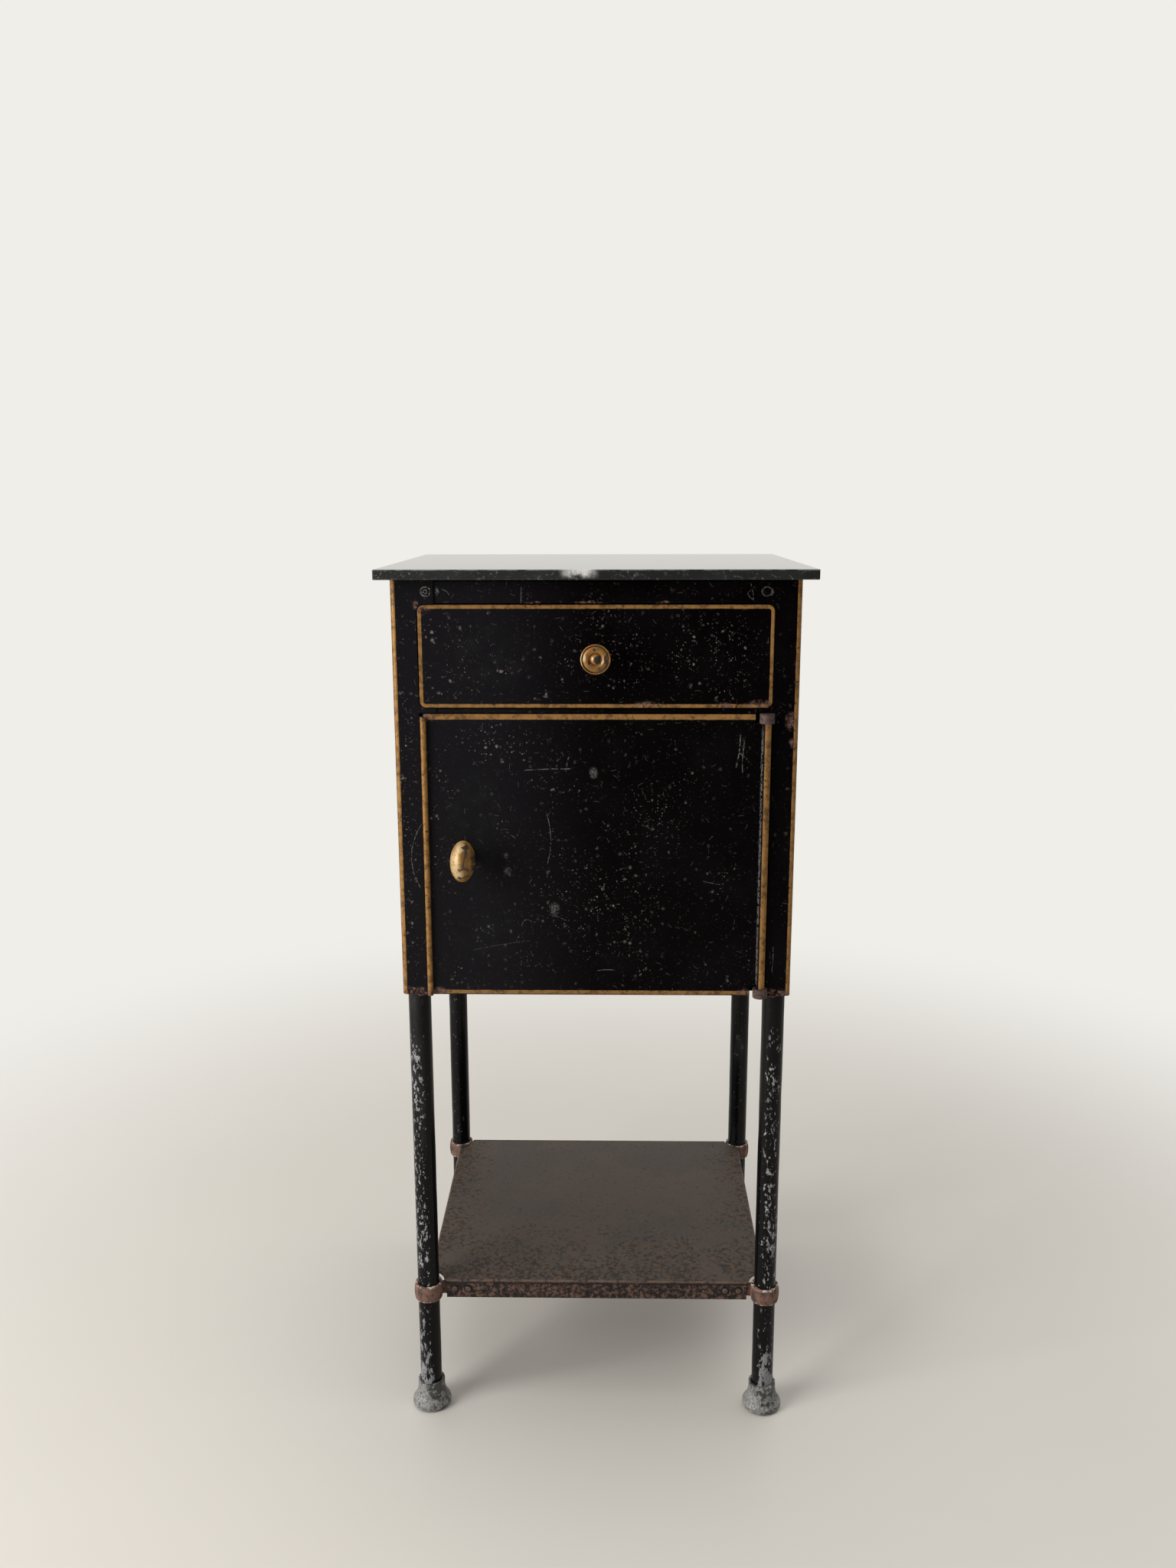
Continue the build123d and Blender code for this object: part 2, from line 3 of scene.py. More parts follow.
import bpy
import numpy as np
from mathutils import Matrix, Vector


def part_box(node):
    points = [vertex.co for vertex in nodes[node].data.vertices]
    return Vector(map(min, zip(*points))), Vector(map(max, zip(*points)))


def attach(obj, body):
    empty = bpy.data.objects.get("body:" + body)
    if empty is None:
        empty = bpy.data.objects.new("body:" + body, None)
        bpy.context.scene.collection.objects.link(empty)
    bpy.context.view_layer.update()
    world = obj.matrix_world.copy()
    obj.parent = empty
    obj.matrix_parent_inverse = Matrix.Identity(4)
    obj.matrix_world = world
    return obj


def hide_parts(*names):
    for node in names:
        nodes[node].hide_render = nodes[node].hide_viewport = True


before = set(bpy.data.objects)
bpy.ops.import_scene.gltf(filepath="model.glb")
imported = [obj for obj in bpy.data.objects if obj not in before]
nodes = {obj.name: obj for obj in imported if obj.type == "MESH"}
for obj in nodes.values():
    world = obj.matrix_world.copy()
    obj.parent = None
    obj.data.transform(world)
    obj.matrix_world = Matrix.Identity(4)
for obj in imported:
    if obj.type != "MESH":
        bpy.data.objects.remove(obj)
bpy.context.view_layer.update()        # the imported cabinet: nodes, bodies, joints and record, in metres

mm = 0.001


def boxOf(node):
    low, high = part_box(node)
    return np.array(low), np.array(high)


# Places read from the cabinet itself
slabLow, slabHigh = boxOf("top_slab")
caseLow, caseHigh = boxOf("left_side_panel")
drawerLow, drawerHigh = boxOf("drawer_front")
doorLow, doorHigh = boxOf("door_panel")
shelfLow, shelfHigh = boxOf("lower_shelf")
shelfMiddle = (shelfLow + shelfHigh) / 2
caseFront = caseLow[1]
caseHalf = -caseLow[0]
legNames = [f"leg_{row}_{side}" for row in ("front", "rear") for side in ("left", "right")]
legAxes = [(np.sum(boxOf(name), axis=0) / 2)[:2] for name in legNames]

# The two rivets at each end of an apron, measured from the leg's axis
rivetsFromLeg = (26.7 * mm, 40.5 * mm)
print("frame loaded,", len(nodes), "nodes")


# Surfaces

def roundCorners(corners, rounding, steps=7):
    # Outline through the corners; a parabola that starts and ends one rounding away cuts each corner off
    corners = np.asarray(corners, float)
    share = np.linspace(0, 1, steps)[:, None]
    parts = [corners[:1]]
    for before, corner, after, size in zip(corners[:-2], corners[1:-1], corners[2:], rounding):
        start = corner + (before - corner) / np.linalg.norm(before - corner) * size
        end = corner + (after - corner) / np.linalg.norm(after - corner) * size
        parts.append((1 - share) ** 2 * start + 2 * share * (1 - share) * corner + share ** 2 * end)
    parts.append(corners[-1:])
    return np.concatenate(parts)


def spin(outline, columns=64):
    # Turned shape: an outline point (radius, height) goes round the axis, x = radius cos a, y = radius sin a
    angle = np.linspace(0, 2 * np.pi, columns, endpoint=False)
    radius, height = outline[:, :1], outline[:, 1:]
    return np.stack([radius * np.cos(angle), radius * np.sin(angle), height + 0 * angle], axis=-1)


def standOn(points, seat, outward):
    # Moves a shape that rises along +Z from zero to a seat, so that it rises along the seat's outward way
    outward = np.asarray(outward, float)
    across = np.cross((0, 0, 1), outward)
    sideways = points[..., :1] * across + points[..., 1:2] * (0, 0, 1)
    return np.asarray(seat) + sideways + points[..., 2:] * outward


def ripple(points, size, seed, waves=14):
    # Smooth unevenness of about -1 to 1: the sum of sine waves along seeded random directions
    random = np.random.default_rng(seed)
    ways = random.normal(size=(3, waves))
    ways *= 2 * np.pi / size * random.uniform(0.6, 1.7, waves) / np.linalg.norm(ways, axis=0)
    return np.sin(points @ ways + random.uniform(0, 2 * np.pi, waves)).sum(axis=-1) / math.sqrt(waves)


def gridShell(points, ring=False):
    # Quads join neighbouring points of a grid whose columns close on themselves.
    # A ring closes its rows too; otherwise one face caps each end row. The faces are turned outwards.
    rows, columns = points.shape[:2]
    index = np.arange(rows * columns).reshape(rows, columns)
    below = index if ring else index[:-1]
    above = np.roll(index, -1, axis=0) if ring else index[1:]
    quads = np.stack([below, np.roll(below, -1, 1), np.roll(above, -1, 1), above], axis=-1).reshape(-1, 4)
    flat = points.reshape(-1, 3)
    corner = flat[quads] - flat.mean(axis=0)
    volume = (np.cross(corner[:, 1], corner[:, 2]) * corner[:, 0]).sum()
    volume += (np.cross(corner[:, 2], corner[:, 3]) * corner[:, 0]).sum()
    turn = 1 if volume > 0 else -1
    faces = quads[:, ::turn].tolist()
    if not ring:
        faces += [index[0][::-turn].tolist(), index[-1][::turn].tolist()]
    return flat, faces


def makePiece(name, shells, finish, body, slot, *replaced, sharp=40):
    # One object from several shells, with smooth faces and its sharp edges kept
    starts = np.cumsum([0] + [len(flat) for flat, faces in shells])
    points = np.concatenate([flat for flat, faces in shells])
    faces = [[corner + int(start) for corner in face]
             for start, (flat, shellFaces) in zip(starts, shells) for face in shellFaces]
    mesh = bpy.data.meshes.new(name)
    mesh.from_pydata(points.tolist(), [], faces)
    mesh.polygons.foreach_set("use_smooth", np.ones(len(mesh.polygons), bool))
    mesh.set_sharp_from_angle(angle=math.radians(sharp))
    mesh.materials.append(finish)
    piece = bpy.data.objects.new(name, mesh)
    bpy.context.scene.collection.objects.link(piece)
    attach(piece, body)
    if replaced:
        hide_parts(*replaced)


# Finishes

def tint(red, green, blue):
    # Screen colour, 0 to 255, as the linear colour that a shader takes
    share = np.array([red, green, blue]) / 255
    linear = np.where(share <= 0.04045, share / 12.92, ((share + 0.055) / 1.055) ** 2.4)
    return (*linear.tolist(), 1.0)


def feed(tree, socket, value):
    # Links another node's output into the socket, or sets the socket's constant
    if isinstance(value, bpy.types.NodeSocket):
        tree.links.new(value, socket)
    else:
        socket.default_value = value


def addNode(tree, kind, sockets=None, **options):
    made = tree.nodes.new(kind)
    for option, value in options.items():
        setattr(made, option, value)
    for socket, value in (sockets or {}).items():
        feed(tree, made.inputs[socket], value)
    return made


class Finish:
    # One material under construction: its nodes, its shader and short calls that add to it.
    # Sizes of patterns and drawn marks are in millimetres; other places and lengths are in metres.
    def __init__(self, name):
        self.material = bpy.data.materials.new(name)
        self.material.use_nodes = True
        self.tree = self.material.node_tree
        self.tree.nodes.clear()
        output = self.node("ShaderNodeOutputMaterial")
        self.shader = self.node("ShaderNodeBsdfPrincipled")
        self.tree.links.new(self.shader.outputs["BSDF"], output.inputs["Surface"])
        self.place = self.node("ShaderNodeTexCoord").outputs["Object"]
        self.x, self.y, self.z = self.node("ShaderNodeSeparateXYZ", {0: self.place}).outputs
        self.colour = None
        self.relief = None

    def node(self, kind, sockets=None, **options):
        return addNode(self.tree, kind, sockets, **options)

    def at(self, where):
        return self.place if where is None else where

    def calc(self, operation, *values):
        return self.node("ShaderNodeMath", dict(enumerate(values)), operation=operation).outputs[0]

    def vector(self, operation, *values):
        made = self.node("ShaderNodeVectorMath", dict(enumerate(values)), operation=operation)
        return made.outputs["Value" if operation in ("DOT_PRODUCT", "LENGTH") else "Vector"]

    def minus(self, first, second):
        return self.calc("SUBTRACT", first, second)

    def plus(self, first, second):
        return self.calc("ADD", first, second)

    def absolute(self, value):
        return self.calc("ABSOLUTE", value)

    def times(self, first, *others):
        for other in others:
            first = self.calc("MULTIPLY", first, other)
        return first

    def most(self, first, *others):
        for other in others:
            first = self.calc("MAXIMUM", first, other)
        return first

    def ease(self, value, low, high):
        # 0 at low and 1 at high, smooth between them, either way round
        sockets = {"Value": value, "From Min": low, "From Max": high}
        return self.node("ShaderNodeMapRange", sockets, interpolation_type="SMOOTHSTEP").outputs["Result"]

    def between(self, value, low, high, soft):
        above = self.ease(value, low - soft, low + soft)
        return self.times(above, self.ease(value, high + soft, high - soft))

    def near(self, value, middle, width, core):
        # 1 within the core's distance of the middle, 0 past the width
        return self.ease(self.absolute(self.minus(value, middle)), width, core)

    def mix(self, share, first, second):
        return self.node("ShaderNodeMix", {0: share, 6: first, 7: second}, data_type="RGBA").outputs[2]

    def lay(self, share, colour):
        # Lays a colour over the ones below, as far as its share says
        self.colour = self.mix(share, self.colour, colour)

    def level(self, share, first, second):
        return self.node("ShaderNodeMix", {0: share, 2: first, 3: second}, data_type="FLOAT").outputs[0]

    def stretched(self, across, deep, up, where=None):
        return self.vector("MULTIPLY", self.at(where), (across, deep, up))

    def cloud(self, size, seed=0.0, where=None, detail=4.0, rough=0.55, twist=0.0):
        # Noise with lumps of about this size; the seed moves to another part of it
        moved = self.vector("ADD", self.at(where), (seed, 0.7 * seed, 1.3 * seed))
        sockets = {"Vector": moved, "Scale": 1 / (size * mm), "Detail": detail}
        sockets |= {"Roughness": rough, "Distortion": twist}
        return self.node("ShaderNodeTexNoise", sockets).outputs[0]

    def blots(self, size, seed, low, high, where=None, **look):
        # A cloud cut off between two levels, which leaves ragged patches
        return self.ease(self.cloud(size, seed, where, **look), low, high)

    def warped(self, size, amount, where=None):
        # The same place, nudged about by a cloud, which makes drawn edges uneven
        where = self.at(where)
        sockets = {"Vector": where, "Scale": 1 / (size * mm), "Detail": 3.0}
        nudge = self.node("ShaderNodeTexNoise", sockets).outputs[1]
        nudge = self.vector("SUBTRACT", nudge, (0.5, 0.5, 0.5))
        return self.vector("ADD", where, self.vector("MULTIPLY", nudge, [amount * mm] * 3))

    def specks(self, spacing, largest, rarity, seed=0.0, where=None):
        # One speck in each cell; its radius is a power of the cell's random number, so most stay tiny
        where = self.vector("ADD", self.at(where), (seed, seed, seed))
        cells = self.node("ShaderNodeTexVoronoi", {"Vector": where, "Scale": 1 / (spacing * mm)})
        chance = self.node("ShaderNodeSeparateColor", {0: cells.outputs["Color"]}).outputs
        radius = self.times(self.calc("POWER", chance[0], rarity), largest / spacing)
        spot = self.ease(cells.outputs["Distance"], radius, self.times(radius, 0.45))
        return self.times(spot, self.level(chance[1], 0.3, 1.0))

    def scratches(self, spacing, length, width, share):
        # In a share of the cells of the front plane lies one thin line, each at its own angle and bow
        flat = self.node("ShaderNodeCombineXYZ", {0: self.x, 1: self.z}).outputs[0]
        spacing, length, width = spacing * mm, length * mm, width * mm
        sockets = {"Vector": flat, "Scale": 1 / spacing}
        cells = self.node("ShaderNodeTexVoronoi", sockets, voronoi_dimensions="2D")
        chance = self.node("ShaderNodeSeparateColor", {0: cells.outputs["Color"]}).outputs
        away = self.vector("SUBTRACT", flat, cells.outputs["Position"])
        sockets = {"Vector": away, "Angle": self.times(chance[0], 2 * math.pi)}
        turned = self.node("ShaderNodeVectorRotate", sockets, rotation_type="Z_AXIS").outputs[0]
        along, across = self.node("ShaderNodeSeparateXYZ", {0: turned}).outputs[:2]
        bow = self.times(self.minus(chance[1], 0.5), 1.2 / length)
        across = self.plus(across, self.times(bow, along, along))
        line = self.ease(self.absolute(across), width, 0.3 * width)
        reach = self.ease(self.absolute(along), 0.5 * length, 0.35 * length)
        return self.times(line, reach, self.ease(chance[2], share, share - 0.02))

    def stroke(self, start, end, bow, width, where=None):
        # One drawn scratch on the front, in millimetres: from start to end, bowed sideways as a parabola
        start = np.array(start) * mm
        way = np.array(end) * mm - start
        length = float(np.hypot(*way))
        unit = way / length
        away = self.vector("SUBTRACT", self.at(where), (start[0], 0, start[1]))
        along = self.vector("DOT_PRODUCT", away, (unit[0] / length, 0, unit[1] / length))
        across = self.vector("DOT_PRODUCT", away, (-unit[1], 0, unit[0]))
        hump = self.times(along, self.minus(1.0, along), 4 * bow * mm)
        line = self.near(across, hump, width * mm, 0.3 * width * mm)
        return self.times(line, self.ease(along, 0.0, 0.06), self.ease(along, 1.0, 0.94))

    def patch(self, middle, halfWidth, halfHeight, where=None):
        # Soft oval on the front plane, in millimetres, 1 in its middle
        away = self.vector("SUBTRACT", self.at(where), (middle[0] * mm, 0, middle[1] * mm))
        scaled = self.vector("MULTIPLY", away, (1 / (halfWidth * mm), 0, 1 / (halfHeight * mm)))
        return self.ease(self.vector("LENGTH", scaled), 1.0, 0.35)

    def bump(self, height, depth):
        # Adds relief of this depth to what is there
        sockets = {"Height": height, "Distance": depth * mm, "Strength": 1.0}
        if self.relief is not None:
            sockets["Normal"] = self.relief
        self.relief = self.node("ShaderNodeBump", sockets).outputs[0]

    def done(self, roughness, metallic=0.0, **constants):
        # Feeds the shader; the constants name its other sockets
        sockets = {"Base Color": self.colour, "Roughness": roughness, "Metallic": metallic}
        if self.relief is not None:
            sockets["Normal"] = self.relief
        for socket, value in sockets.items():
            feed(self.tree, self.shader.inputs[socket], value)
        for socket, value in constants.items():
            self.shader.inputs[socket.replace("_", " ")].default_value = value
        return self.material


# Black japanned sheet steel with gilt lines

japan = dict(
    brownBlack=tint(4, 2, 3), blueBlackAndSheen=tint(22, 21, 24), hazeAndSheen=tint(29, 30, 29),
    speck=tint(150, 146, 142), warmSpeck=tint(126, 108, 102), scratch=tint(116, 114, 112),
    primer=tint(112, 88, 82), rust=tint(56, 37, 31), sheetWave=0.16,
    sheenFrom=25 * mm, sheenTo=-120 * mm, calmerFrom=140 * mm, calmerTo=168 * mm,
)
gilding = dict(
    colour=tint(152, 113, 67), worn=tint(100, 74, 47), wobble=0.7 * mm, soft=0.18 * mm,
    stileInset=0.5 * mm, stileWidth=3.9 * mm, stileDepth=3.6 * mm,
    drawerCorner=6.0 * mm, drawerWidth=3.5 * mm, drawerDepth=0.9 * mm,
    doorSpan=(-157.5 * mm, 147.2 * mm), doorTopWidth=5.2 * mm, doorDepth=0.4 * mm,
    doorBottomInset=1.2 * mm, doorBottomWidth=3.6 * mm, doorBottomShare=0.8,
    beadEdge=(5.7 * mm, 5.0 * mm), barrelEdge=(6.4 * mm, 5.8 * mm),
)


def giltLine(coat, distance, width):
    # 1 on a painted line from its outer edge, at distance zero, to its width, with uneven sides
    wobble = coat.times(coat.minus(coat.cloud(7, 3.1), 0.5), gilding["wobble"])
    return coat.between(coat.plus(distance, wobble), 0.0, width, gilding["soft"])


def onFront(coat, depth):
    # 1 on what lies no deeper than this behind the front of the case
    return coat.ease(coat.y, caseFront + depth + 0.2 * mm, caseFront + depth - 0.2 * mm)


def stileGilt(coat):
    # The bend at each front corner of the case is gilt
    inward = coat.minus(caseHalf, coat.absolute(coat.x))
    line = giltLine(coat, coat.minus(inward, gilding["stileInset"]), gilding["stileWidth"])
    return coat.times(line, onFront(coat, gilding["stileDepth"]))


def drawerGilt(coat):
    # Line along the drawer's edge: distance to a rectangle with rounded corners
    corner = gilding["drawerCorner"]
    middle = (drawerLow + drawerHigh) / 2
    half = (drawerHigh - drawerLow) / 2 - corner
    overX = coat.minus(coat.absolute(coat.minus(coat.x, middle[0])), half[0])
    overZ = coat.minus(coat.absolute(coat.minus(coat.z, middle[2])), half[2])
    outX, outZ = coat.most(overX, 0.0), coat.most(overZ, 0.0)
    outside = coat.calc("SQRT", coat.plus(coat.times(outX, outX), coat.times(outZ, outZ)))
    inside = coat.calc("MINIMUM", coat.most(overX, overZ), 0.0)
    inward = coat.minus(corner, coat.plus(outside, inside))
    line = giltLine(coat, inward, gilding["drawerWidth"])
    return coat.times(line, onFront(coat, gilding["drawerDepth"]))


def doorGilt(coat):
    # Lines along the door's top and bottom, on its wired left edge and on its hinge barrel
    span = coat.between(coat.x, *gilding["doorSpan"], 0.5 * mm)
    top = giltLine(coat, coat.minus(doorHigh[2], coat.z), gilding["doorTopWidth"])
    top = coat.times(top, span)
    above = coat.minus(coat.z, doorLow[2] + gilding["doorBottomInset"])
    bottom = giltLine(coat, above, gilding["doorBottomWidth"])
    bottom = coat.times(bottom, span, gilding["doorBottomShare"])
    bead = coat.ease(coat.x, *(doorLow[0] + np.array(gilding["beadEdge"])))
    barrel = coat.ease(coat.x, *(doorHigh[0] - np.array(gilding["barrelEdge"])))
    return coat.times(coat.most(top, bottom, bead, barrel), onFront(coat, gilding["doorDepth"]))


def japanFinish(name, gilt=None, strokes=(), chips=(), loops=(), rusty=(), hazeAndSheenPatches=(), speckled=(),
                deep=0.6 * mm, wear=1.0):
    # Brown black turning blue black at random and towards the left, where it is a painted sheen of the window
    # lamp; film, specks, scratches, gilt and rust are laid over it in turn.
    # Drawn marks show no deeper than deep behind the front, and wear scales the specks.
    coat = Finish(name)
    uneven = coat.warped(0.9, 0.8, coat.warped(4, 2.2))
    broad = coat.cloud(70, 1.7, detail=3.0)
    # Painted sheen: the black turns bluer and paler towards the left, where the window lamp falls
    windowSheen = coat.ease(coat.x, japan["sheenFrom"], japan["sheenTo"])
    toneAndSheen = coat.most(coat.times(coat.ease(broad, 0.42, 0.66), 0.2), windowSheen)
    coat.colour = coat.mix(toneAndSheen, japan["brownBlack"], japan["blueBlackAndSheen"])

    # Dull film that polishing has left in places, and a painted sheen: paler grey that grows towards the left
    # and in the listed patches
    filmAndSheen = coat.times(coat.blots(55, 4.2, 0.5, 0.78), coat.level(windowSheen, 0.06, 0.15))
    for middle, halfWidth, halfHeight in hazeAndSheenPatches:
        streaky = coat.blots(16, 6.0, 0.35, 0.7)
        filmAndSheen = coat.most(filmAndSheen, coat.times(coat.patch(middle, halfWidth, halfHeight), streaky, 0.5))
    coat.lay(filmAndSheen, japan["hazeAndSheen"])

    # Chipped specks, in clusters
    crowd = coat.blots(38, 8.3, 0.5, 0.74, detail=2.0)
    for middle, halfWidth, halfHeight in speckled:
        loose = coat.blots(18, 5.2, 0.36, 0.56)
        crowd = coat.most(crowd, coat.times(coat.patch(middle, halfWidth, halfHeight), loose))
    fine = coat.times(coat.specks(2.0, 1.1, 2.2, 0.1, uneven), coat.level(crowd, 0.1, 1.0))
    medium = coat.times(coat.specks(5.2, 2.4, 2.8, 0.3, uneven), coat.level(crowd, 0.15, 1.0))
    bare = coat.times(coat.most(fine, medium), coat.blots(1.5, 2.0, 0.38, 0.54, detail=3.0))
    flakes = coat.cloud(4.2, 9.1, uneven, detail=5.0, rough=0.72)
    flaked = coat.ease(flakes, coat.level(crowd, 0.76, 0.66), coat.level(crowd, 0.80, 0.70))
    bare = coat.most(bare, coat.times(flaked, 0.7))
    calmer = coat.ease(coat.x, japan["calmerFrom"], japan["calmerTo"])
    bare = coat.times(bare, coat.level(calmer, wear, 0.45 * wear))
    speck = coat.mix(coat.cloud(12, 3.0), japan["speck"], japan["warmSpeck"])
    coat.lay(coat.times(bare, 0.75), speck)

    # Hairline scratches, and the long ones that stand out; one long stroke on the door is a painted highlight
    # on its hinge barrel
    hair = coat.scratches(17, 6, 0.25, 0.28)
    drawn = coat.times(hair, 0.34)
    broken = coat.blots(2.4, 5.5, 0.36, 0.6, detail=3.0)
    wavy = coat.warped(5, 1.0)
    for start, end, bow, width, strength in strokes:
        line = coat.stroke(start, end, bow, width, wavy)
        drawn = coat.most(drawn, coat.times(line, broken, 0.75 * strength))
    ragged = coat.blots(1.8, 3.5, 0.38, 0.62, uneven, detail=4.0, rough=0.7)
    for middle, halfWidth, halfHeight, strength in chips:
        chip = coat.patch(middle, halfWidth, halfHeight, uneven)
        drawn = coat.most(drawn, coat.times(chip, ragged, 0.8 * strength))
    for middle, radius, width, strength in loops:
        away = coat.vector("SUBTRACT", coat.stretched(1, 0, 1, uneven), (middle[0] * mm, 0, middle[1] * mm))
        ring = coat.near(coat.vector("LENGTH", away), radius * mm, width * mm, 0.4 * width * mm)
        drawn = coat.most(drawn, coat.times(ring, broken, strength))
    drawn = coat.times(drawn, onFront(coat, deep))
    coat.lay(drawn, japan["scratch"])
    roughness = coat.level(coat.most(bare, drawn, filmAndSheen), coat.level(broad, 0.22, 0.32), 0.6)

    # Gilt, rubbed thin here and chipped there
    metallic = 0.0
    if gilt is not None:
        painted = gilt(coat)
        thin = coat.blots(4.5, 7.7, 0.62, 0.66, uneven, detail=4.0, rough=0.7)
        lost = coat.most(coat.specks(3.6, 1.5, 3.2, 0.9, uneven), thin)
        painted = coat.times(painted, coat.minus(1.0, coat.times(lost, 0.85)))
        rubbedAndLit = coat.blots(7, 1.1, 0.42, 0.68, detail=4.0, rough=0.7)
        coat.lay(painted, coat.mix(rubbedAndLit, gilding["colour"], gilding["worn"]))
        roughness = coat.level(painted, roughness, 0.38)
        metallic = coat.times(painted, 0.2)

    # Primer and rust that have come through
    rust = coat.times(coat.blots(9, 9.4, 0.66, 0.74, detail=6.0, rough=0.7), 0.4)
    for middle, halfWidth, halfHeight in rusty:
        spread = coat.patch(middle, halfWidth, halfHeight, coat.warped(6, 5))
        eaten = coat.blots(3.5, 3.3, 0.4, 0.55, detail=6.0, rough=0.7)
        rust = coat.most(rust, coat.times(spread, onFront(coat, 20 * mm), eaten, 0.9))
    through = coat.mix(coat.blots(3, 2.8, 0.4, 0.6), japan["primer"], japan["rust"])
    coat.lay(rust, through)
    roughness = coat.level(rust, roughness, 0.8)

    coat.bump(coat.cloud(80, 0.4, detail=1.0), japan["sheetWave"])
    coat.bump(coat.cloud(1.4, 0.9, detail=2.0), 0.012)
    coat.bump(coat.minus(1.0, coat.most(bare, drawn, rust)), 0.05)
    return coat.done(roughness, metallic, Specular_IOR_Level=0.04)


# Marks that stand out, in millimetres, as places (x, z) on the front plane.
# Strokes: start, end, bow, width, strength. Chips: middle, half width, half height, strength.
# Loops: middle, radius, width, strength. The others: middle, half width, half height.
stileMarks = dict(
    strokes=[
        ((-163, 632.2), (-166, 566.9), -10, 0.5, 0.9),
        ((169.3, 511.6), (168.6, 484.5), 0.6, 0.5, 0.9),
        ((166.5, 505), (167.1, 493), 0.0, 0.4, 0.6),
    ],
    chips=[((159.2, 847.2), 1.8, 4, 0.8)],
    loops=[
        ((-154.5, 847.7), 4.2, 0.9, 0.9), ((-154.5, 847.7), 1.8, 0.7, 0.7), ((154.5, 847.7), 4.2, 0.7, 0.5),
    ],
    rusty=[
        ((180, 729), 7, 11), ((181.5, 709), 4, 6), ((-170, 464), 22, 6),
        ((172, 464), 22, 6), ((-164, 836), 3, 6),
    ],
    speckled=[((-176, 650), 12, 150)],
)
railMarks = dict(
    strokes=[
        ((-67.9, 853), (-68.1, 835.8), 0.3, 0.5, 0.9),
        ((-140.3, 849.6), (-133, 844), 1.6, 0.5, 0.7),
        ((139, 856), (142.5, 840), 1, 0.5, 0.9),
        ((142.5, 840), (137.2, 846.5), 0.8, 0.5, 0.8),
        ((137.2, 846.5), (144, 852), 0.0, 0.4, 0.7),
    ],
    chips=[((-144, 847.8), 2.2, 4.6, 0.8)],
    rusty=[((-57, 837.6), 10, 1.8), ((-6.6, 837.6), 16, 1.6), ((62, 837.6), 9, 1.8)],
)
drawerMarks = dict(
    chips=[((87, 762), 2.2, 3, 0.5), ((-46, 752), 3, 2, 0.6)],
    rusty=[
        ((-159, 833), 11, 8), ((154, 744), 22, 6), ((118, 743), 12, 4),
        ((48, 744), 16, 4),
    ],
    hazeAndSheenPatches=[((-100, 790), 60, 40)],
    speckled=[
        ((108, 795), 62, 48), ((15, 792), 48, 50), ((-133, 772), 36, 42),
    ],
)
doorMarks = dict(
    strokes=[
        ((-67.2, 682.5), (-22.8, 684), 0.6, 0.6, 1.0),
        ((-27, 683.3), (-24.2, 697.8), 0.9, 0.5, 0.9),
        ((-46.8, 642.9), (-46.4, 590.7), 4, 0.5, 0.9),
        ((-71.2, 529.8), (-60.2, 534.4), 5, 0.5, 0.7),
        ((133.5, 719), (130, 685), 1.2, 0.8, 0.9),
        ((137.5, 711), (136.2, 679.9), -0.8, 0.6, 0.9),
        ((131, 701), (136.5, 696), 0.4, 0.6, 0.8),
        ((-119, 506), (-62, 516), 1, 0.6, 0.25),
        ((1, 486), (18, 486.6), 0.4, 0.6, 0.8),
        ((101, 576), (118, 572.4), -0.3, 0.5, 0.6),
        ((-45, 542), (-28, 536), 1, 0.5, 0.6),
        # A painted highlight, drawn as a stroke: a pale line down the left side of the hinge barrel
        ((153.6, 729), (153.6, 468), 0.0, 0.9, 0.8),
    ],
    chips=[
        ((-2, 680.4), 5, 6.8, 0.9), ((-84.9, 600.3), 3.4, 4, 0.5),
        ((-83.6, 585.3), 5.2, 4.8, 0.6), ((-39.5, 548), 6, 8, 0.6),
    ],
    rusty=[((-156, 733), 12, 6), ((148, 464), 18, 5), ((-154, 464), 18, 5)],
    hazeAndSheenPatches=[((-105, 520), 45, 33), ((-115, 640), 40, 50)],
    speckled=[
        ((0, 555), 85, 50), ((-90, 708), 64, 30), ((50, 630), 40, 50),
    ],
)
stileFinish = japanFinish("japannedStile", stileGilt, **stileMarks)
railFinish = japanFinish("japannedRail", **railMarks, deep=1.8 * mm, wear=0.5)
drawerFinish = japanFinish("japannedDrawer", drawerGilt, **drawerMarks)
doorFinish = japanFinish("japannedDoor", doorGilt, **doorMarks)
plainFinish = japanFinish("japannedPlain")
print("japanned finishes made")


# Leg enamel, rubbed through in front and near the floor, with a painted sheen on the side facing the window

legEnamel = dict(
    black=tint(7, 7, 8), bare=tint(178, 178, 181), worn=tint(100, 101, 104), rust=tint(86, 56, 48),
    belowCase=(437 * mm, 411 * mm), belowCollar=(131 * mm, 95 * mm), nearFoot=(80 * mm, 35 * mm),
    rearLegs=(-20 * mm, 20 * mm),
)


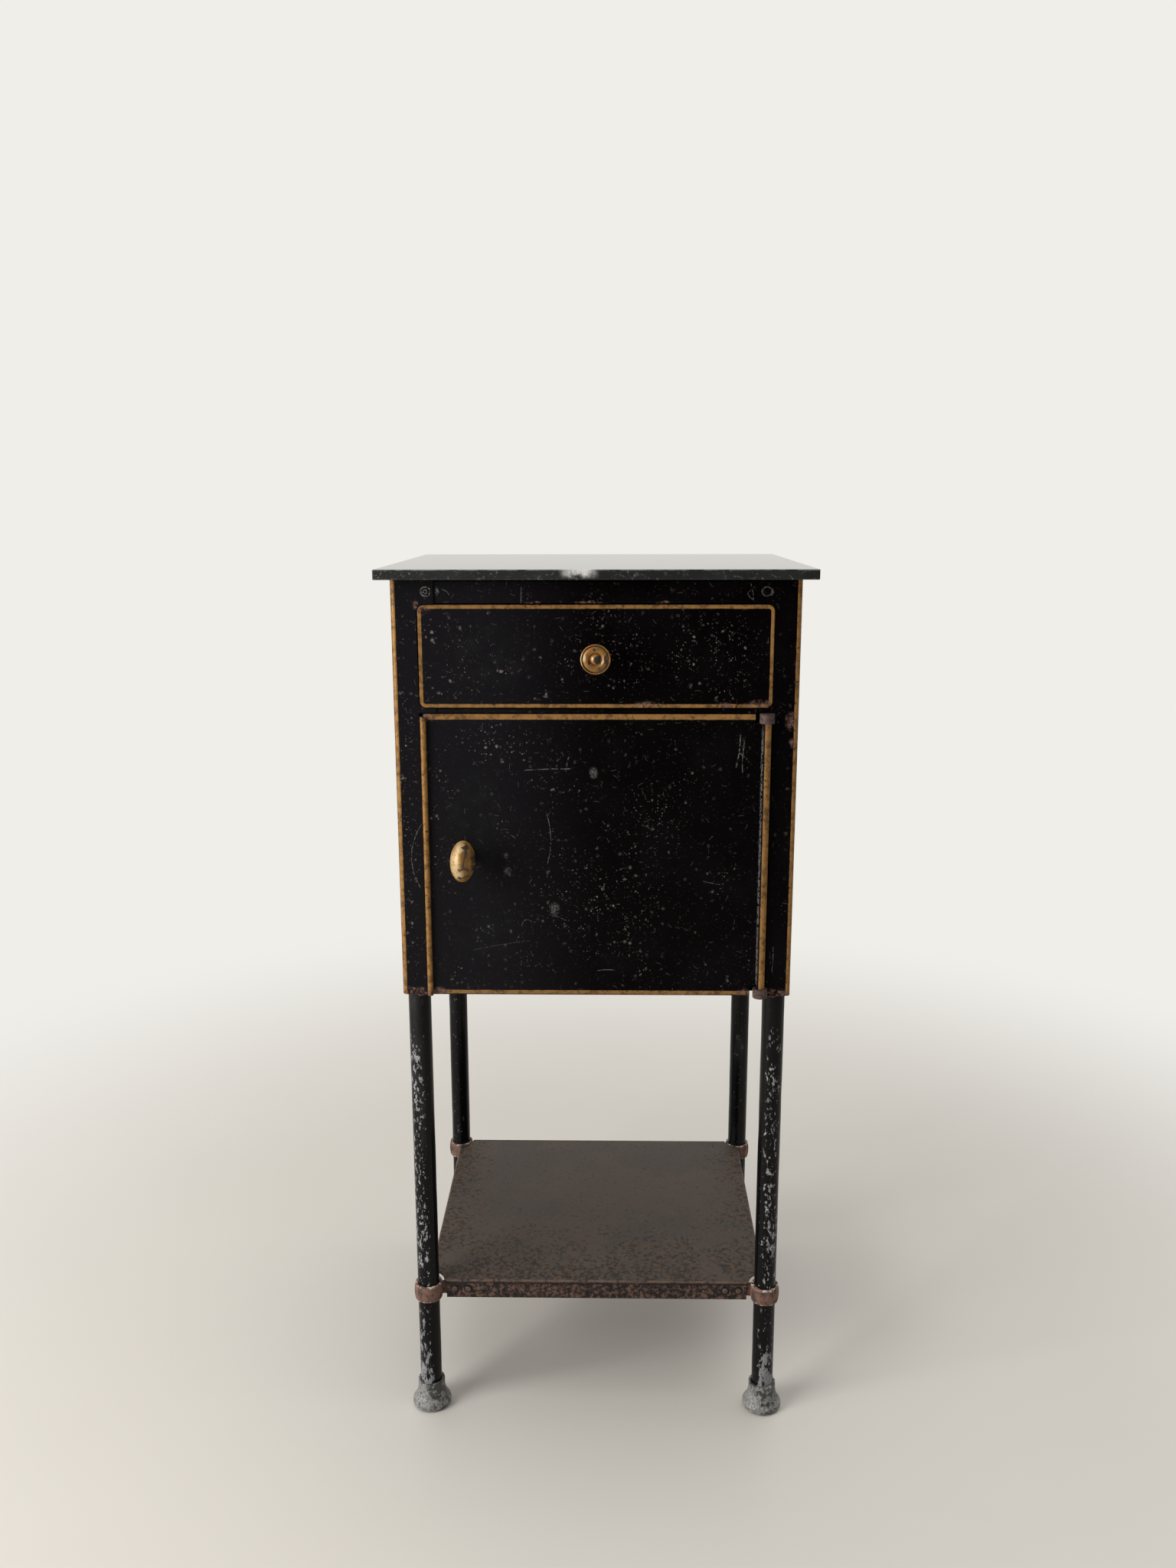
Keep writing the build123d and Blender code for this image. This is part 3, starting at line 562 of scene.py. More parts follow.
def legFinish():
    coat = Finish("legEnamel")
    normal = coat.node("ShaderNodeNewGeometry").outputs["Normal"]
    facing = coat.node("ShaderNodeSeparateXYZ", {0: normal}).outputs
    turn = coat.minus(coat.times(coat.x, 2.5), 0.24)
    front = coat.ease(coat.minus(coat.times(facing[0], turn), coat.times(facing[1], 0.85)), 0.25, 0.85)
    uneven = coat.warped(1.6, 1.1, coat.stretched(1.0, 1.0, 0.45))
    crowd = coat.blots(42, 2.4, 0.36, 0.58, coat.stretched(1.0, 1.0, 0.6), detail=3.0)
    low = coat.ease(coat.z, *legEnamel["belowCollar"])
    below = coat.ease(coat.z, *legEnamel["belowCase"])
    rear = coat.ease(coat.y, *legEnamel["rearLegs"])
    amount = coat.times(coat.level(front, 0.12, 1.0), coat.level(crowd, 0.5, 1.0))
    amount = coat.times(amount, coat.level(below, 0.15, 1.0), coat.level(rear, 1.0, 0.5))

    # Flakes spread where the paint is thin; near the floor they join into bare patches
    nearFoot = coat.ease(coat.z, *legEnamel["nearFoot"])
    lowReach = coat.level(front, 0.64, coat.level(nearFoot, 0.54, 0.45))
    reach = coat.level(low, coat.level(amount, 0.75, 0.54), lowReach)
    small = coat.cloud(3.4, 6.6, uneven, detail=5.0, rough=0.7)
    large = coat.cloud(8, 1.6, uneven, detail=6.0, rough=0.7)
    flakes = coat.level(coat.times(low, 0.6), small, large)
    bare = coat.ease(flakes, reach, coat.plus(reach, 0.03))
    fine = coat.specks(2.4, 0.9, 2.6, 0.2, uneven)
    medium = coat.specks(6.5, 2.0, 3.2, 0.5, uneven)
    bare = coat.most(bare, coat.times(coat.most(fine, medium), amount))
    # Painted sheen: the black greyed a little on the side that faces the front and the window on the left
    facingSheen = coat.times(coat.blots(24, 4.1, 0.48, 0.74, coat.stretched(1.0, 1.0, 0.3)), front, 0.1)
    coat.colour = coat.mix(facingSheen, legEnamel["black"], legEnamel["worn"])
    dulled = coat.most(coat.blots(1.7, 5.0, 0.3, 0.7, detail=3.0), coat.times(low, 0.6))
    metal = coat.mix(dulled, legEnamel["bare"], legEnamel["worn"])
    coat.lay(coat.times(bare, 0.95), metal)
    rust = coat.blots(16, 3.0, 0.67, 0.75, detail=6.0, rough=0.7)
    coat.lay(coat.times(rust, 0.6), legEnamel["rust"])
    coat.bump(coat.minus(1.0, bare), 0.07)
    coat.bump(coat.cloud(9, 0.3, detail=2.0), 0.05)
    roughness = coat.level(coat.most(bare, rust), 0.2, 0.6)
    return coat.done(roughness, coat.times(bare, 0.1), Specular_IOR_Level=0.14)


# Cast feet, worn to bare iron, with painted shade on the side away from the lamp

footIron = dict(
    bare=tint(152, 152, 150), grey=tint(88, 88, 87), black=tint(22, 22, 23), sleeve=(14 * mm, 28 * mm),
)


def footFinish():
    coat = Finish("wornFootIron")
    uneven = coat.warped(3, 2)
    grain = coat.cloud(2.2, 1.2, uneven, detail=5.0, rough=0.7)
    coat.colour = coat.mix(coat.ease(grain, 0.35, 0.65), footIron["grey"], footIron["bare"])
    left = coat.cloud(6.5, 4.4, uneven, detail=6.0, rough=0.7)
    # Painted shade: black is kept more on the side that faces right, away from the window lamp, laid like
    # paint remains
    facing = coat.node("ShaderNodeNewGeometry").outputs["Normal"]
    shaded = coat.ease(coat.vector("DOT_PRODUCT", facing, (0.8, -0.3, 0.2)), -0.6, 0.9)
    high = coat.ease(coat.z, *footIron["sleeve"])
    share = coat.minus(coat.level(shaded, 0.58, 0.48), coat.times(high, 0.06))
    paintAndShade = coat.ease(left, share, coat.plus(share, 0.06))
    coat.lay(coat.times(paintAndShade, 0.85), footIron["black"])
    coat.bump(grain, 0.12)
    coat.bump(paintAndShade, 0.08)
    return coat.done(coat.level(paintAndShade, 0.58, 0.3), coat.level(paintAndShade, 0.15, 0.0))


# Cast collars under red-lead primer, flaked pale along their edges

collarIron = dict(
    primer=tint(112, 80, 68), dark=tint(56, 39, 34), flake=tint(196, 186, 170), black=tint(26, 22, 21),
    edgeFromMiddle=(6.2 * mm, 8.6 * mm), ringReach=(17 * mm, 15.5 * mm),
)


def collarFinish():
    coat = Finish("primedCollar")
    uneven = coat.warped(2.4, 1.6)
    mottle = coat.blots(7, 2.2, 0.4, 0.66, detail=5.0)
    coat.colour = coat.mix(mottle, collarIron["primer"], collarIron["dark"])
    soot = coat.blots(4, 5.1, 0.6, 0.68, uneven, detail=5.0, rough=0.7)
    coat.lay(soot, collarIron["black"])
    edge = coat.ease(coat.absolute(coat.minus(coat.z, shelfMiddle[2])), *collarIron["edgeFromMiddle"])
    flakes = coat.times(edge, coat.blots(3.4, 7.7, 0.5, 0.58, uneven, detail=5.0, rough=0.7))
    corner = np.abs(legAxes[0] - shelfMiddle[:2])
    centred = coat.vector("SUBTRACT", coat.place, (shelfMiddle[0], shelfMiddle[1], 0))
    folded = coat.stretched(1, 1, 0, coat.vector("ABSOLUTE", centred))
    fromLeg = coat.vector("SUBTRACT", folded, (corner[0], corner[1], 0))
    flakes = coat.times(flakes, coat.ease(coat.vector("LENGTH", fromLeg), *collarIron["ringReach"]))
    coat.lay(flakes, collarIron["flake"])
    coat.bump(coat.cloud(2.5, 1.0, detail=5.0), 0.15)
    return coat.done(0.72)


# Shelf paint gone brown, rust-mottled towards its edges

shelfPaint = dict(
    brown=tint(72, 60, 53), grey=tint(64, 57, 51), rust=tint(92, 74, 58), dark=tint(26, 20, 17),
    apronRed=tint(98, 74, 63), apronBlack=tint(18, 14, 14), foldHighlight=tint(104, 84, 74), pale=tint(150, 140, 124),
)


def shelfFinish():
    coat = Finish("shelfPaint")
    uneven = coat.warped(4, 3)
    broad = coat.blots(90, 1.4, 0.4, 0.62, detail=3.0)
    coat.colour = coat.mix(broad, shelfPaint["brown"], shelfPaint["grey"])
    toFront = coat.ease(coat.y, shelfLow[1] + 190 * mm, shelfLow[1])
    toSide = coat.ease(coat.absolute(coat.x), shelfHigh[0] - 80 * mm, shelfHigh[0])
    edges = coat.most(toFront, coat.times(toSide, 0.9), 0.3)
    edges = coat.times(edges, coat.blots(40, 6.1, 0.22, 0.5, detail=3.0))
    mottle = coat.cloud(5, 3.8, uneven, detail=6.0, rough=0.75)
    spots = coat.ease(mottle, coat.level(edges, 0.58, 0.46), coat.level(edges, 0.68, 0.56))
    coat.lay(coat.times(spots, 0.8), shelfPaint["rust"])
    pitted = coat.cloud(4.5, 8.1, uneven, detail=6.0, rough=0.75)
    pits = coat.ease(pitted, coat.level(edges, 0.60, 0.44), coat.level(edges, 0.70, 0.54))
    coat.lay(coat.times(pits, 0.85), shelfPaint["dark"])
    pale = coat.times(coat.specks(9, 1.4, 5.0, 0.4, uneven), 0.6)
    coat.lay(pale, shelfPaint["pale"])

    # The folded-down aprons are redder and blacker; each rivet head has a paler crown and a dark ring round
    # it; along the fold runs a painted highlight, broken in places, and under it a painted shadow
    apron = coat.ease(coat.z, shelfHigh[2] - 2.0 * mm, shelfHigh[2] - 2.8 * mm)
    red = coat.blots(4, 6.2, 0.46, 0.6, uneven, detail=6.0, rough=0.75)
    coat.lay(apron, coat.mix(red, shelfPaint["apronBlack"], shelfPaint["apronRed"]))
    centred = coat.vector("SUBTRACT", coat.place, (shelfMiddle[0], 0, shelfMiddle[2]))
    for away in rivetsFromLeg:
        seat = (abs(legAxes[0][0] - shelfMiddle[0]) - away, 0, 0)
        fromRivet = coat.vector("SUBTRACT", coat.stretched(1, 0, 1, coat.vector("ABSOLUTE", centred)), seat)
        distance = coat.vector("LENGTH", fromRivet)
        crown = coat.times(coat.ease(distance, 3.4 * mm, 2.4 * mm), apron, 0.45)
        rim = coat.near(distance, 3.8 * mm, 1.2 * mm, 0.5 * mm)
        coat.lay(crown, shelfPaint["foldHighlight"])
        coat.lay(coat.times(rim, apron, 0.9), shelfPaint["apronBlack"])
    worn = coat.blots(9, 2.0, 0.35, 0.6)
    # Painted highlight on the bend of the fold
    foldHighlight = coat.between(coat.z, shelfHigh[2] - 1.6 * mm, shelfHigh[2] - 0.15 * mm, 0.2 * mm)
    coat.lay(coat.times(foldHighlight, worn, 0.8), shelfPaint["foldHighlight"])
    # Painted shadow under the fold
    underShadow = coat.between(coat.z, shelfHigh[2] - 4.2 * mm, shelfHigh[2] - 2.6 * mm, 0.3 * mm)
    underShadow = coat.times(underShadow, coat.blots(14, 4.0, 0.3, 0.5))
    coat.lay(underShadow, shelfPaint["apronBlack"])
    coat.bump(mottle, 0.1)
    coat.bump(coat.cloud(60, 0.8, detail=2.0), 0.5)
    return coat.done(coat.level(spots, 0.55, 0.75), Specular_IOR_Level=0.3)


# Rusted iron of the lugs and brazing, bare steel, and the paint inside

rustedIron = dict(
    dark=tint(46, 33, 32), red=tint(92, 66, 62), flake=tint(150, 134, 124), black=tint(24, 20, 20),
)
bareSteel = dict(pale=tint(112, 110, 106), grey=tint(70, 67, 63), rust=tint(84, 60, 46))
insidePaint = dict(
    grey=tint(48, 45, 42), dark=tint(38, 35, 34), worn=tint(112, 104, 94), rust=tint(88, 60, 44),
)


def rustedFinish():
    coat = Finish("rustedIron")
    grain = coat.cloud(3, 1.9, detail=6.0, rough=0.7)
    coat.colour = coat.mix(coat.ease(grain, 0.4, 0.62), rustedIron["dark"], rustedIron["red"])
    flakes = coat.blots(2.4, 6.5, 0.62, 0.7, detail=5.0, rough=0.7)
    coat.lay(flakes, rustedIron["flake"])
    coat.lay(coat.blots(5, 3.5, 0.56, 0.66), rustedIron["black"])
    coat.bump(grain, 0.15)
    return coat.done(0.68)


def steelFinish():
    coat = Finish("bareSteel")
    streaks = coat.cloud(3, 1.0, coat.stretched(1.0, 1.0, 0.1))
    coat.colour = coat.mix(coat.ease(streaks, 0.35, 0.7), bareSteel["pale"], bareSteel["grey"])
    coat.lay(coat.blots(5, 4.0, 0.56, 0.66, detail=5.0), bareSteel["rust"])
    coat.bump(streaks, 0.03)
    return coat.done(coat.level(streaks, 0.4, 0.6), 0.6)


def insideFinish():
    coat = Finish("insidePaint")
    coat.colour = coat.mix(coat.blots(60, 2.0, 0.4, 0.65), insidePaint["grey"], insidePaint["dark"])
    specks = coat.specks(8, 1.4, 3.5, 0.2, coat.warped(2, 1.2))
    worn = coat.most(specks, coat.times(coat.scratches(40, 26, 0.4, 0.4), 0.6))
    coat.lay(coat.times(worn, 0.7), insidePaint["worn"])
    rust = coat.blots(18, 5.0, 0.58, 0.7, detail=6.0, rough=0.7)
    coat.lay(coat.times(rust, 0.7), insidePaint["rust"])
    coat.bump(coat.cloud(40, 0.4, detail=2.0), 0.2)
    return coat.done(coat.level(rust, 0.48, 0.75))


# Brass of the two knobs, darkened where hands don't rub it, with painted highlights on the sides facing the
# lamp and painted shade on the sides away from it

brass = dict(
    cream=tint(186, 160, 115), ochre=tint(150, 103, 44), olive=tint(118, 87, 38), brown=tint(60, 38, 24),
    black=tint(32, 24, 19),
)


def brassFinish(name, middle, rubbedAndLit=(), stainedAndShaded=(), veins=(), grooves=(), blotched=0.0):
    # Rubbed and lit spots, stained and shaded spots and veins are places (x, z) on the front, in millimetres
    # from the middle. The lit spots are painted highlights with some rubbing; the shaded ones are painted
    # shade with some stains.
    # Grooves are rings about it (radius, width, level of breaks); blotched lowers the level of stains.
    coat = Finish(name)
    here = coat.vector("SUBTRACT", coat.place, (middle[0], 0, middle[1]))
    uneven = coat.warped(1.1, 0.9, coat.warped(4, 2, here))
    coat.colour = coat.mix(coat.blots(9, 1.3, 0.4, 0.64, detail=3.0), brass["ochre"], brass["olive"])
    # Painted highlights, with some rubbing: cream patches on the sides that face the window lamp
    for place, halfWidth, halfHeight in rubbedAndLit:
        handledAndLit = coat.blots(3, 5.2, 0.25, 0.5)
        bright = coat.times(coat.patch(place, halfWidth, halfHeight, here), handledAndLit)
        coat.lay(bright, brass["cream"])
    blotch = coat.cloud(4, 4.7, uneven, detail=5.0, rough=0.65)
    # Painted shade, with some stains: brown patches, many on the sides away from the lamp
    for place, halfWidth, halfHeight in stainedAndShaded:
        blotch = coat.plus(blotch, coat.times(coat.patch(place, halfWidth, halfHeight, here), 0.26))
    stainAndShade = coat.ease(blotch, 0.66 - blotched, 0.74 - blotched)
    for start, end, bow, width in veins:
        stainAndShade = coat.most(stainAndShade, coat.stroke(start, end, bow, width, uneven))
    for radius, width, spread in grooves:
        away = coat.vector("LENGTH", coat.stretched(1, 0, 1, here))
        ring = coat.near(away, radius * mm, width * mm, 0.4 * width * mm)
        stainAndShade = coat.most(stainAndShade, coat.times(ring, coat.blots(6, 8.0, spread, spread + 0.2)))
    coat.lay(coat.times(stainAndShade, 0.92), brass["brown"])
    coat.lay(coat.ease(blotch, 0.76 - blotched, 0.82 - blotched), brass["black"])
    coat.bump(coat.minus(1.0, stainAndShade), 0.1)
    coat.bump(coat.cloud(1.2, 0.7, detail=3.0), 0.02)
    return coat.done(coat.level(stainAndShade, 0.46, 0.65), coat.level(stainAndShade, 0.25, 0.05))


# Polished dark stone, scuffed along its front edge, with a painted highlight on its top arris

stone = dict(
    body=tint(12, 14, 13), vein=tint(23, 27, 25), speck=tint(112, 117, 113), scuff=tint(216, 214, 212),
    scuffMiddle=-15 * mm, scuffHalf=17 * mm,
)


def stoneFinish():
    coat = Finish("polishedStone")
    veined = coat.blots(50, 1.1, 0.42, 0.66, detail=6.0, twist=0.6)
    coat.colour = coat.mix(veined, stone["body"], stone["vein"])
    uneven = coat.warped(1.4, 0.8)
    edge = coat.ease(coat.z, slabHigh[2] - 0.5 * mm, slabHigh[2] - 1.2 * mm)
    fine = coat.specks(2.2, 0.8, 2.4, 0.1, uneven)
    specks = coat.most(fine, coat.specks(7, 1.6, 3.0, 0.6, uneven))
    flakes = coat.blots(4.5, 4.9, 0.54, 0.64, uneven, detail=5.0, rough=0.75)
    flakes = coat.times(flakes, coat.blots(45, 7.2, 0.36, 0.56), edge, 0.8)
    coat.lay(coat.most(coat.times(specks, coat.level(edge, 0.08, 0.8)), flakes), stone["speck"])
    # Painted highlight: a pale broken line along the top arris
    arris = coat.between(coat.z, slabHigh[2] - 1.0 * mm, slabHigh[2] - 0.1 * mm, 0.12 * mm)
    rubbedAndLit = coat.times(arris, coat.blots(12, 3.3, 0.35, 0.6), 0.7)
    coat.lay(rubbedAndLit, stone["speck"])
    ends = coat.near(coat.x, stone["scuffMiddle"], 1.15 * stone["scuffHalf"], 0.3 * stone["scuffHalf"])
    front = coat.ease(coat.y, slabLow[1] + 3 * mm, slabLow[1] + 1 * mm)
    low = coat.ease(coat.z, slabLow[2] + 0.2 * mm, slabLow[2] + 5.5 * mm)
    cover = coat.blots(7, 6.4, 0.3, 0.62, uneven, detail=5.0, rough=0.65)
    scuff = coat.times(ends, front, low, cover)
    coat.lay(coat.times(scuff, 0.95), stone["scuff"])
    nicks = coat.times(coat.scratches(15, 7, 0.35, 0.5), edge, 0.5)
    coat.lay(nicks, stone["speck"])
    smear = coat.cloud(120, 0.5, coat.stretched(1.0, 0.5, 1.0), detail=5.0)
    coat.bump(coat.times(coat.cloud(1.8, 2.4), edge), 0.06)
    roughness = coat.most(coat.level(smear, 0.02, 0.07), coat.times(coat.most(edge, scuff), 0.42))
    return coat.done(roughness, IOR=1.5)


legCoat = legFinish()
footCoat = footFinish()
collarCoat = collarFinish()
shelfCoat = shelfFinish()
rustCoat = rustedFinish()
steelCoat = steelFinish()
insideCoat = insideFinish()
stoneCoat = stoneFinish()
print("other finishes made")


# Pieces

def paintNodes(finish, *names):
    for name in names:
        nodes[name].material_slots[0].material = finish


paintNodes(stileFinish, "left_side_panel", "right_side_panel")
paintNodes(railFinish, "top_rail")
paintNodes(drawerFinish, "drawer_front")
paintNodes(doorFinish, "door_panel")
paintNodes(plainFinish, "back_panel", "bottom_panel", "divider_panel", "top_sheet")
paintNodes(shelfCoat, "lower_shelf")
paintNodes(insideCoat, "drawer_tray", "drawer_runner_left", "drawer_runner_right")
paintNodes(rustCoat, "hinge_lug_top", "hinge_lug_bottom")
paintNodes(steelCoat, "hinge_pin", "door_edge_wire", "drawer_knob_nut")
paintNodes(steelCoat, "latch_spindle", "latch_tongue", "latch_nut")


# Stone top

slabShape = dict(
    arris=0.8 * mm, cornerRound=1.2 * mm, step=1.6 * mm, sharp=8,
    chipDepth=1.1 * mm, chipSize=9 * mm, chipSpread=60 * mm, chipRarity=1.15,
    chipShares=(0, 0, 0, 0, 0.25, 0.8, 1.0, 1.0),
)


def cornerSigns(quarter):
    # Signs of x and y at the slab's corner in that quarter turn
    angle = (quarter + 0.5) * np.pi / 2
    return np.sign(np.array([math.cos(angle), math.sin(angle)]))


def slabEdge(inset):
    # Path round the slab: four straight runs joined by quarter circles, with the outward way at each point
    radius = slabShape["cornerRound"]
    half = (slabHigh - slabLow)[:2] / 2 - radius
    path, outward = [], []
    for quarter in range(4):
        angle = (quarter + np.linspace(0, 1, 7)) * np.pi / 2
        way = np.stack([np.cos(angle), np.sin(angle)], axis=-1)
        arc = cornerSigns(quarter) * half + radius * way
        run = (cornerSigns(quarter + 1) - cornerSigns(quarter)) * half
        count = int(np.linalg.norm(run) / slabShape["step"])
        share = np.linspace(0, 1, count, endpoint=False)[1:, None]
        path += [arc, arc[-1] + share * run]
        outward += [way, np.repeat(way[-1:], count - 1, axis=0)]
    middle = (slabHigh + slabLow)[:2] / 2
    return middle + np.concatenate(path) - inset * np.concatenate(outward), np.concatenate(outward)


def makeSlab():
    # The edge's profile (inset, height) carried round the path; chips draw the upper arris in
    arris = slabShape["arris"]
    thick = slabHigh[2] - slabLow[2]
    profile = [
        (arris, 0), (0.25 * arris, 0.25 * arris), (0, arris), (0, 0.5 * thick), (0, thick - 2.2 * arris),
        (0, thick - arris), (0.25 * arris, thick - 0.25 * arris), (arris, thick),
    ]
    rows = []
    for (inset, height), chipShare in zip(profile, slabShape["chipShares"]):
        path, outward = slabEdge(inset)
        place = np.concatenate([path, np.full((len(path), 1), slabLow[2] + height)], axis=1)
        flatPlace = place * (1, 1, 0)
        chips = ripple(flatPlace, slabShape["chipSize"], 5) * ripple(flatPlace, slabShape["chipSpread"], 6)
        bite = np.clip(chips - slabShape["chipRarity"], 0, 1)
        place[:, :2] -= outward * (bite * chipShare * slabShape["chipDepth"])[:, None]
        rows.append(place)
    shell = gridShell(np.array(rows))
    sharp = slabShape["sharp"]
    makePiece("stoneTop", [shell], stoneCoat, "frame", "polished_slate", "top_slab", sharp=sharp)


makeSlab()


# Tube legs, a little dented

legShape = dict(columns=56, rows=150, dent=0.12 * mm)


def makeLeg(name, axis, seed):
    # Upright tube: the radius is drawn in by a ripple, never out past the real tube
    low, high = boxOf(name)
    radius = (high[0] - low[0]) / 2
    heights = np.linspace(low[2], high[2], legShape["rows"])
    points = spin(np.stack([np.full_like(heights, radius), heights], axis=-1), legShape["columns"])
    dent = np.clip(ripple(points + (*axis, 0), 45 * mm, seed), 0, 1.5)[..., None] * legShape["dent"]
    points[..., :2] -= points[..., :2] / radius * dent
    shell = gridShell(points + (*axis, 0))
    makePiece("tube_" + name, [shell], legCoat, "frame", "leg_paint", name)


for number, (name, axis) in enumerate(zip(legNames, legAxes)):
    makeLeg(name, axis, 20 + number)


# Cast feet with a socket, a hollow flare and a rolled flange

footShape = dict(
    corners=[
        (13.0, 0.0), (17.4, 0.0), (19.9, 2.6), (19.9, 6.6), (18.5, 8.4), (15.6, 13.0), (13.9, 20.5),
        (13.9, 29.0), (11.1, 29.0), (11.1, 22.0),
    ],
    rounding=[1.0, 1.6, 1.1, 0.9, 2.6, 3.4, 0.8, 0.5], roughness=0.16 * mm,
)


def makeFeet():
    # Turned outline, made uneven by a ripple that only draws the casting in
    outline = roundCorners(footShape["corners"], footShape["rounding"]) * mm
    shells = []
    for number, axis in enumerate(legAxes):
        points = spin(outline, 72)
        uneven = np.clip(ripple(points, 7 * mm, 40 + number), 0, 2)[..., None] * footShape["roughness"]
        reach = np.linalg.norm(points[..., :2], axis=-1, keepdims=True)
        points[..., :2] -= points[..., :2] / reach * uneven
        shells.append(gridShell(points + (*axis, 0)))
    makePiece("castFeet", shells, footCoat, "frame", "foot_iron", "feet")


makeFeet()


# Shelf collars: a barrel-shaped ring with two ears behind the aprons

collarShape = dict(
    bore=11.25, end=13.7, belly=15.3, height=17.5, rounding=[0.3, 0.8, 6.5, 0.8, 0.3],
    earLength=47.0, earHeight=13.5, earThick=4.0, apronSheet=1.2, roughness=0.2 * mm, earPower=0.25,
    earReach=[0.2, 0.5, 0.86, 0.91, 0.955, 0.985, 1.0], earSlim=[1.0, 1.0, 1.0, 0.95, 0.86, 0.72, 0.5],
)


def makeEar(axis, along, inward):
    # Bar behind an apron: a squared oval section carried from the leg outwards, drawn in at its far end
    shape = collarShape
    angle = np.linspace(0, 2 * np.pi, 40, endpoint=False)
    thick = np.sign(np.cos(angle)) * np.abs(np.cos(angle)) ** shape["earPower"] * shape["earThick"] / 2
    tall = np.sign(np.sin(angle)) * np.abs(np.sin(angle)) ** shape["earPower"] * shape["earHeight"] / 2
    reach = shape["earLength"] * np.array(shape["earReach"])
    slim = np.array(shape["earSlim"])
    middle = shape["apronSheet"] + shape["earThick"] / 2
    offset = reach[:, None, None] * along + (middle + thick)[None, :, None] * inward
    offset = offset + (slim[:, None] * tall)[..., None] * np.array([0, 0, 1.0])
    return gridShell(offset * mm + (*axis, shelfMiddle[2]))


def makeCollars():
    # Turned ring with a rounded belly, then its two ears, at each leg
    shape = collarShape
    half = shape["height"] / 2
    bore, end = shape["bore"], shape["end"]
    corners = [
        (bore, 0), (bore, -half), (end, -half), (shape["belly"], 0), (end, half), (bore, half), (bore, 0.01),
    ]
    outline = roundCorners(corners, shape["rounding"]) * mm
    shells = []
    for number, axis in enumerate(legAxes):
        ring = spin(outline, 64) + (0, 0, shelfMiddle[2])
        uneven = np.clip(ripple(ring, 9 * mm, 60 + number), 0, 2)[..., None] * shape["roughness"]
        ring[..., :2] *= 1 - uneven / (shape["belly"] * mm)
        shells.append(gridShell(ring + (*axis, 0), ring=True))
        toMiddle = np.sign(shelfMiddle[:2] - axis)
        alongX, alongY = np.array([toMiddle[0], 0, 0]), np.array([0, toMiddle[1], 0])
        shells += [makeEar(axis, alongX, alongY), makeEar(axis, alongY, alongX)]
    makePiece("shelfCollars", shells, collarCoat, "frame", "collar_iron", "shelf_collars")


makeCollars()


# Rivets: a low hammered head outside, a shank and a flat tail inside

rivetShape = dict(
    shank=2.0, head=3.5, headHeight=1.5, tail=2.6, tailHeight=0.8, shelfGrip=5.2, railGrip=2.4,
    rounding=[0.3, 0.1, 0.1, 0.1, 0.2, 0.5, 0.6],
)


def rivetShell(seat, outward, grip, seed):
    # Turned outline from the tail's end to the crown; the head is slightly out of round
    shape = rivetShape
    head, crown, end = shape["head"], shape["headHeight"], -grip - shape["tailHeight"]
    tail, shank = shape["tail"], shape["shank"]
    corners = [
        (0.6, end), (tail, end), (tail, -grip), (shank, -grip), (shank, 0), (head, 0),
        (0.86 * head, 0.75 * crown), (0.45 * head, crown), (0.3, crown),
    ]
    outline = roundCorners(corners, shape["rounding"], 4) * mm
    points = spin(outline, 28)
    points[..., :2] *= 1 - 0.05 * np.clip(ripple(points, 6 * mm, seed), 0, 2)[..., None]
    return gridShell(standOn(points, seat, outward))


def makeRivets():
    # Two at each end of each apron, facing outwards, then one at each end of the rail
    shape = rivetShape
    shells = []
    for number, axis in enumerate(legAxes):
        toMiddle = np.sign(shelfMiddle[:2] - axis)
        for away in rivetsFromLeg:
            onFace = (axis[0] + toMiddle[0] * away, axis[1], shelfMiddle[2])
            onSide = (axis[0], axis[1] + toMiddle[1] * away, shelfMiddle[2])
            shells.append(rivetShell(onFace, (0, -toMiddle[1], 0), shape["shelfGrip"], 80 + number))
            shells.append(rivetShell(onSide, (-toMiddle[0], 0, 0), shape["shelfGrip"], 90 + number))
    makePiece("shelfRivets", shells, shelfCoat, "frame", "shelf_paint", "shelf_rivets")
    low, high = boxOf("rail_rivets")
    height = (low[2] + high[2]) / 2
    inset = high[0] - shape["head"] * mm
    seats = [(side * inset, caseFront, height) for side in (-1, 1)]
    shells = [rivetShell(seat, (0, -1, 0), shape["railGrip"], 99) for seat in seats]
    makePiece("railRivets", shells, stileFinish, "frame", "black_japan", "rail_rivets")


makeRivets()


# Drawer knob: a rimmed disc with a swelling ring on a waisted neck, held by a stud with a domed head

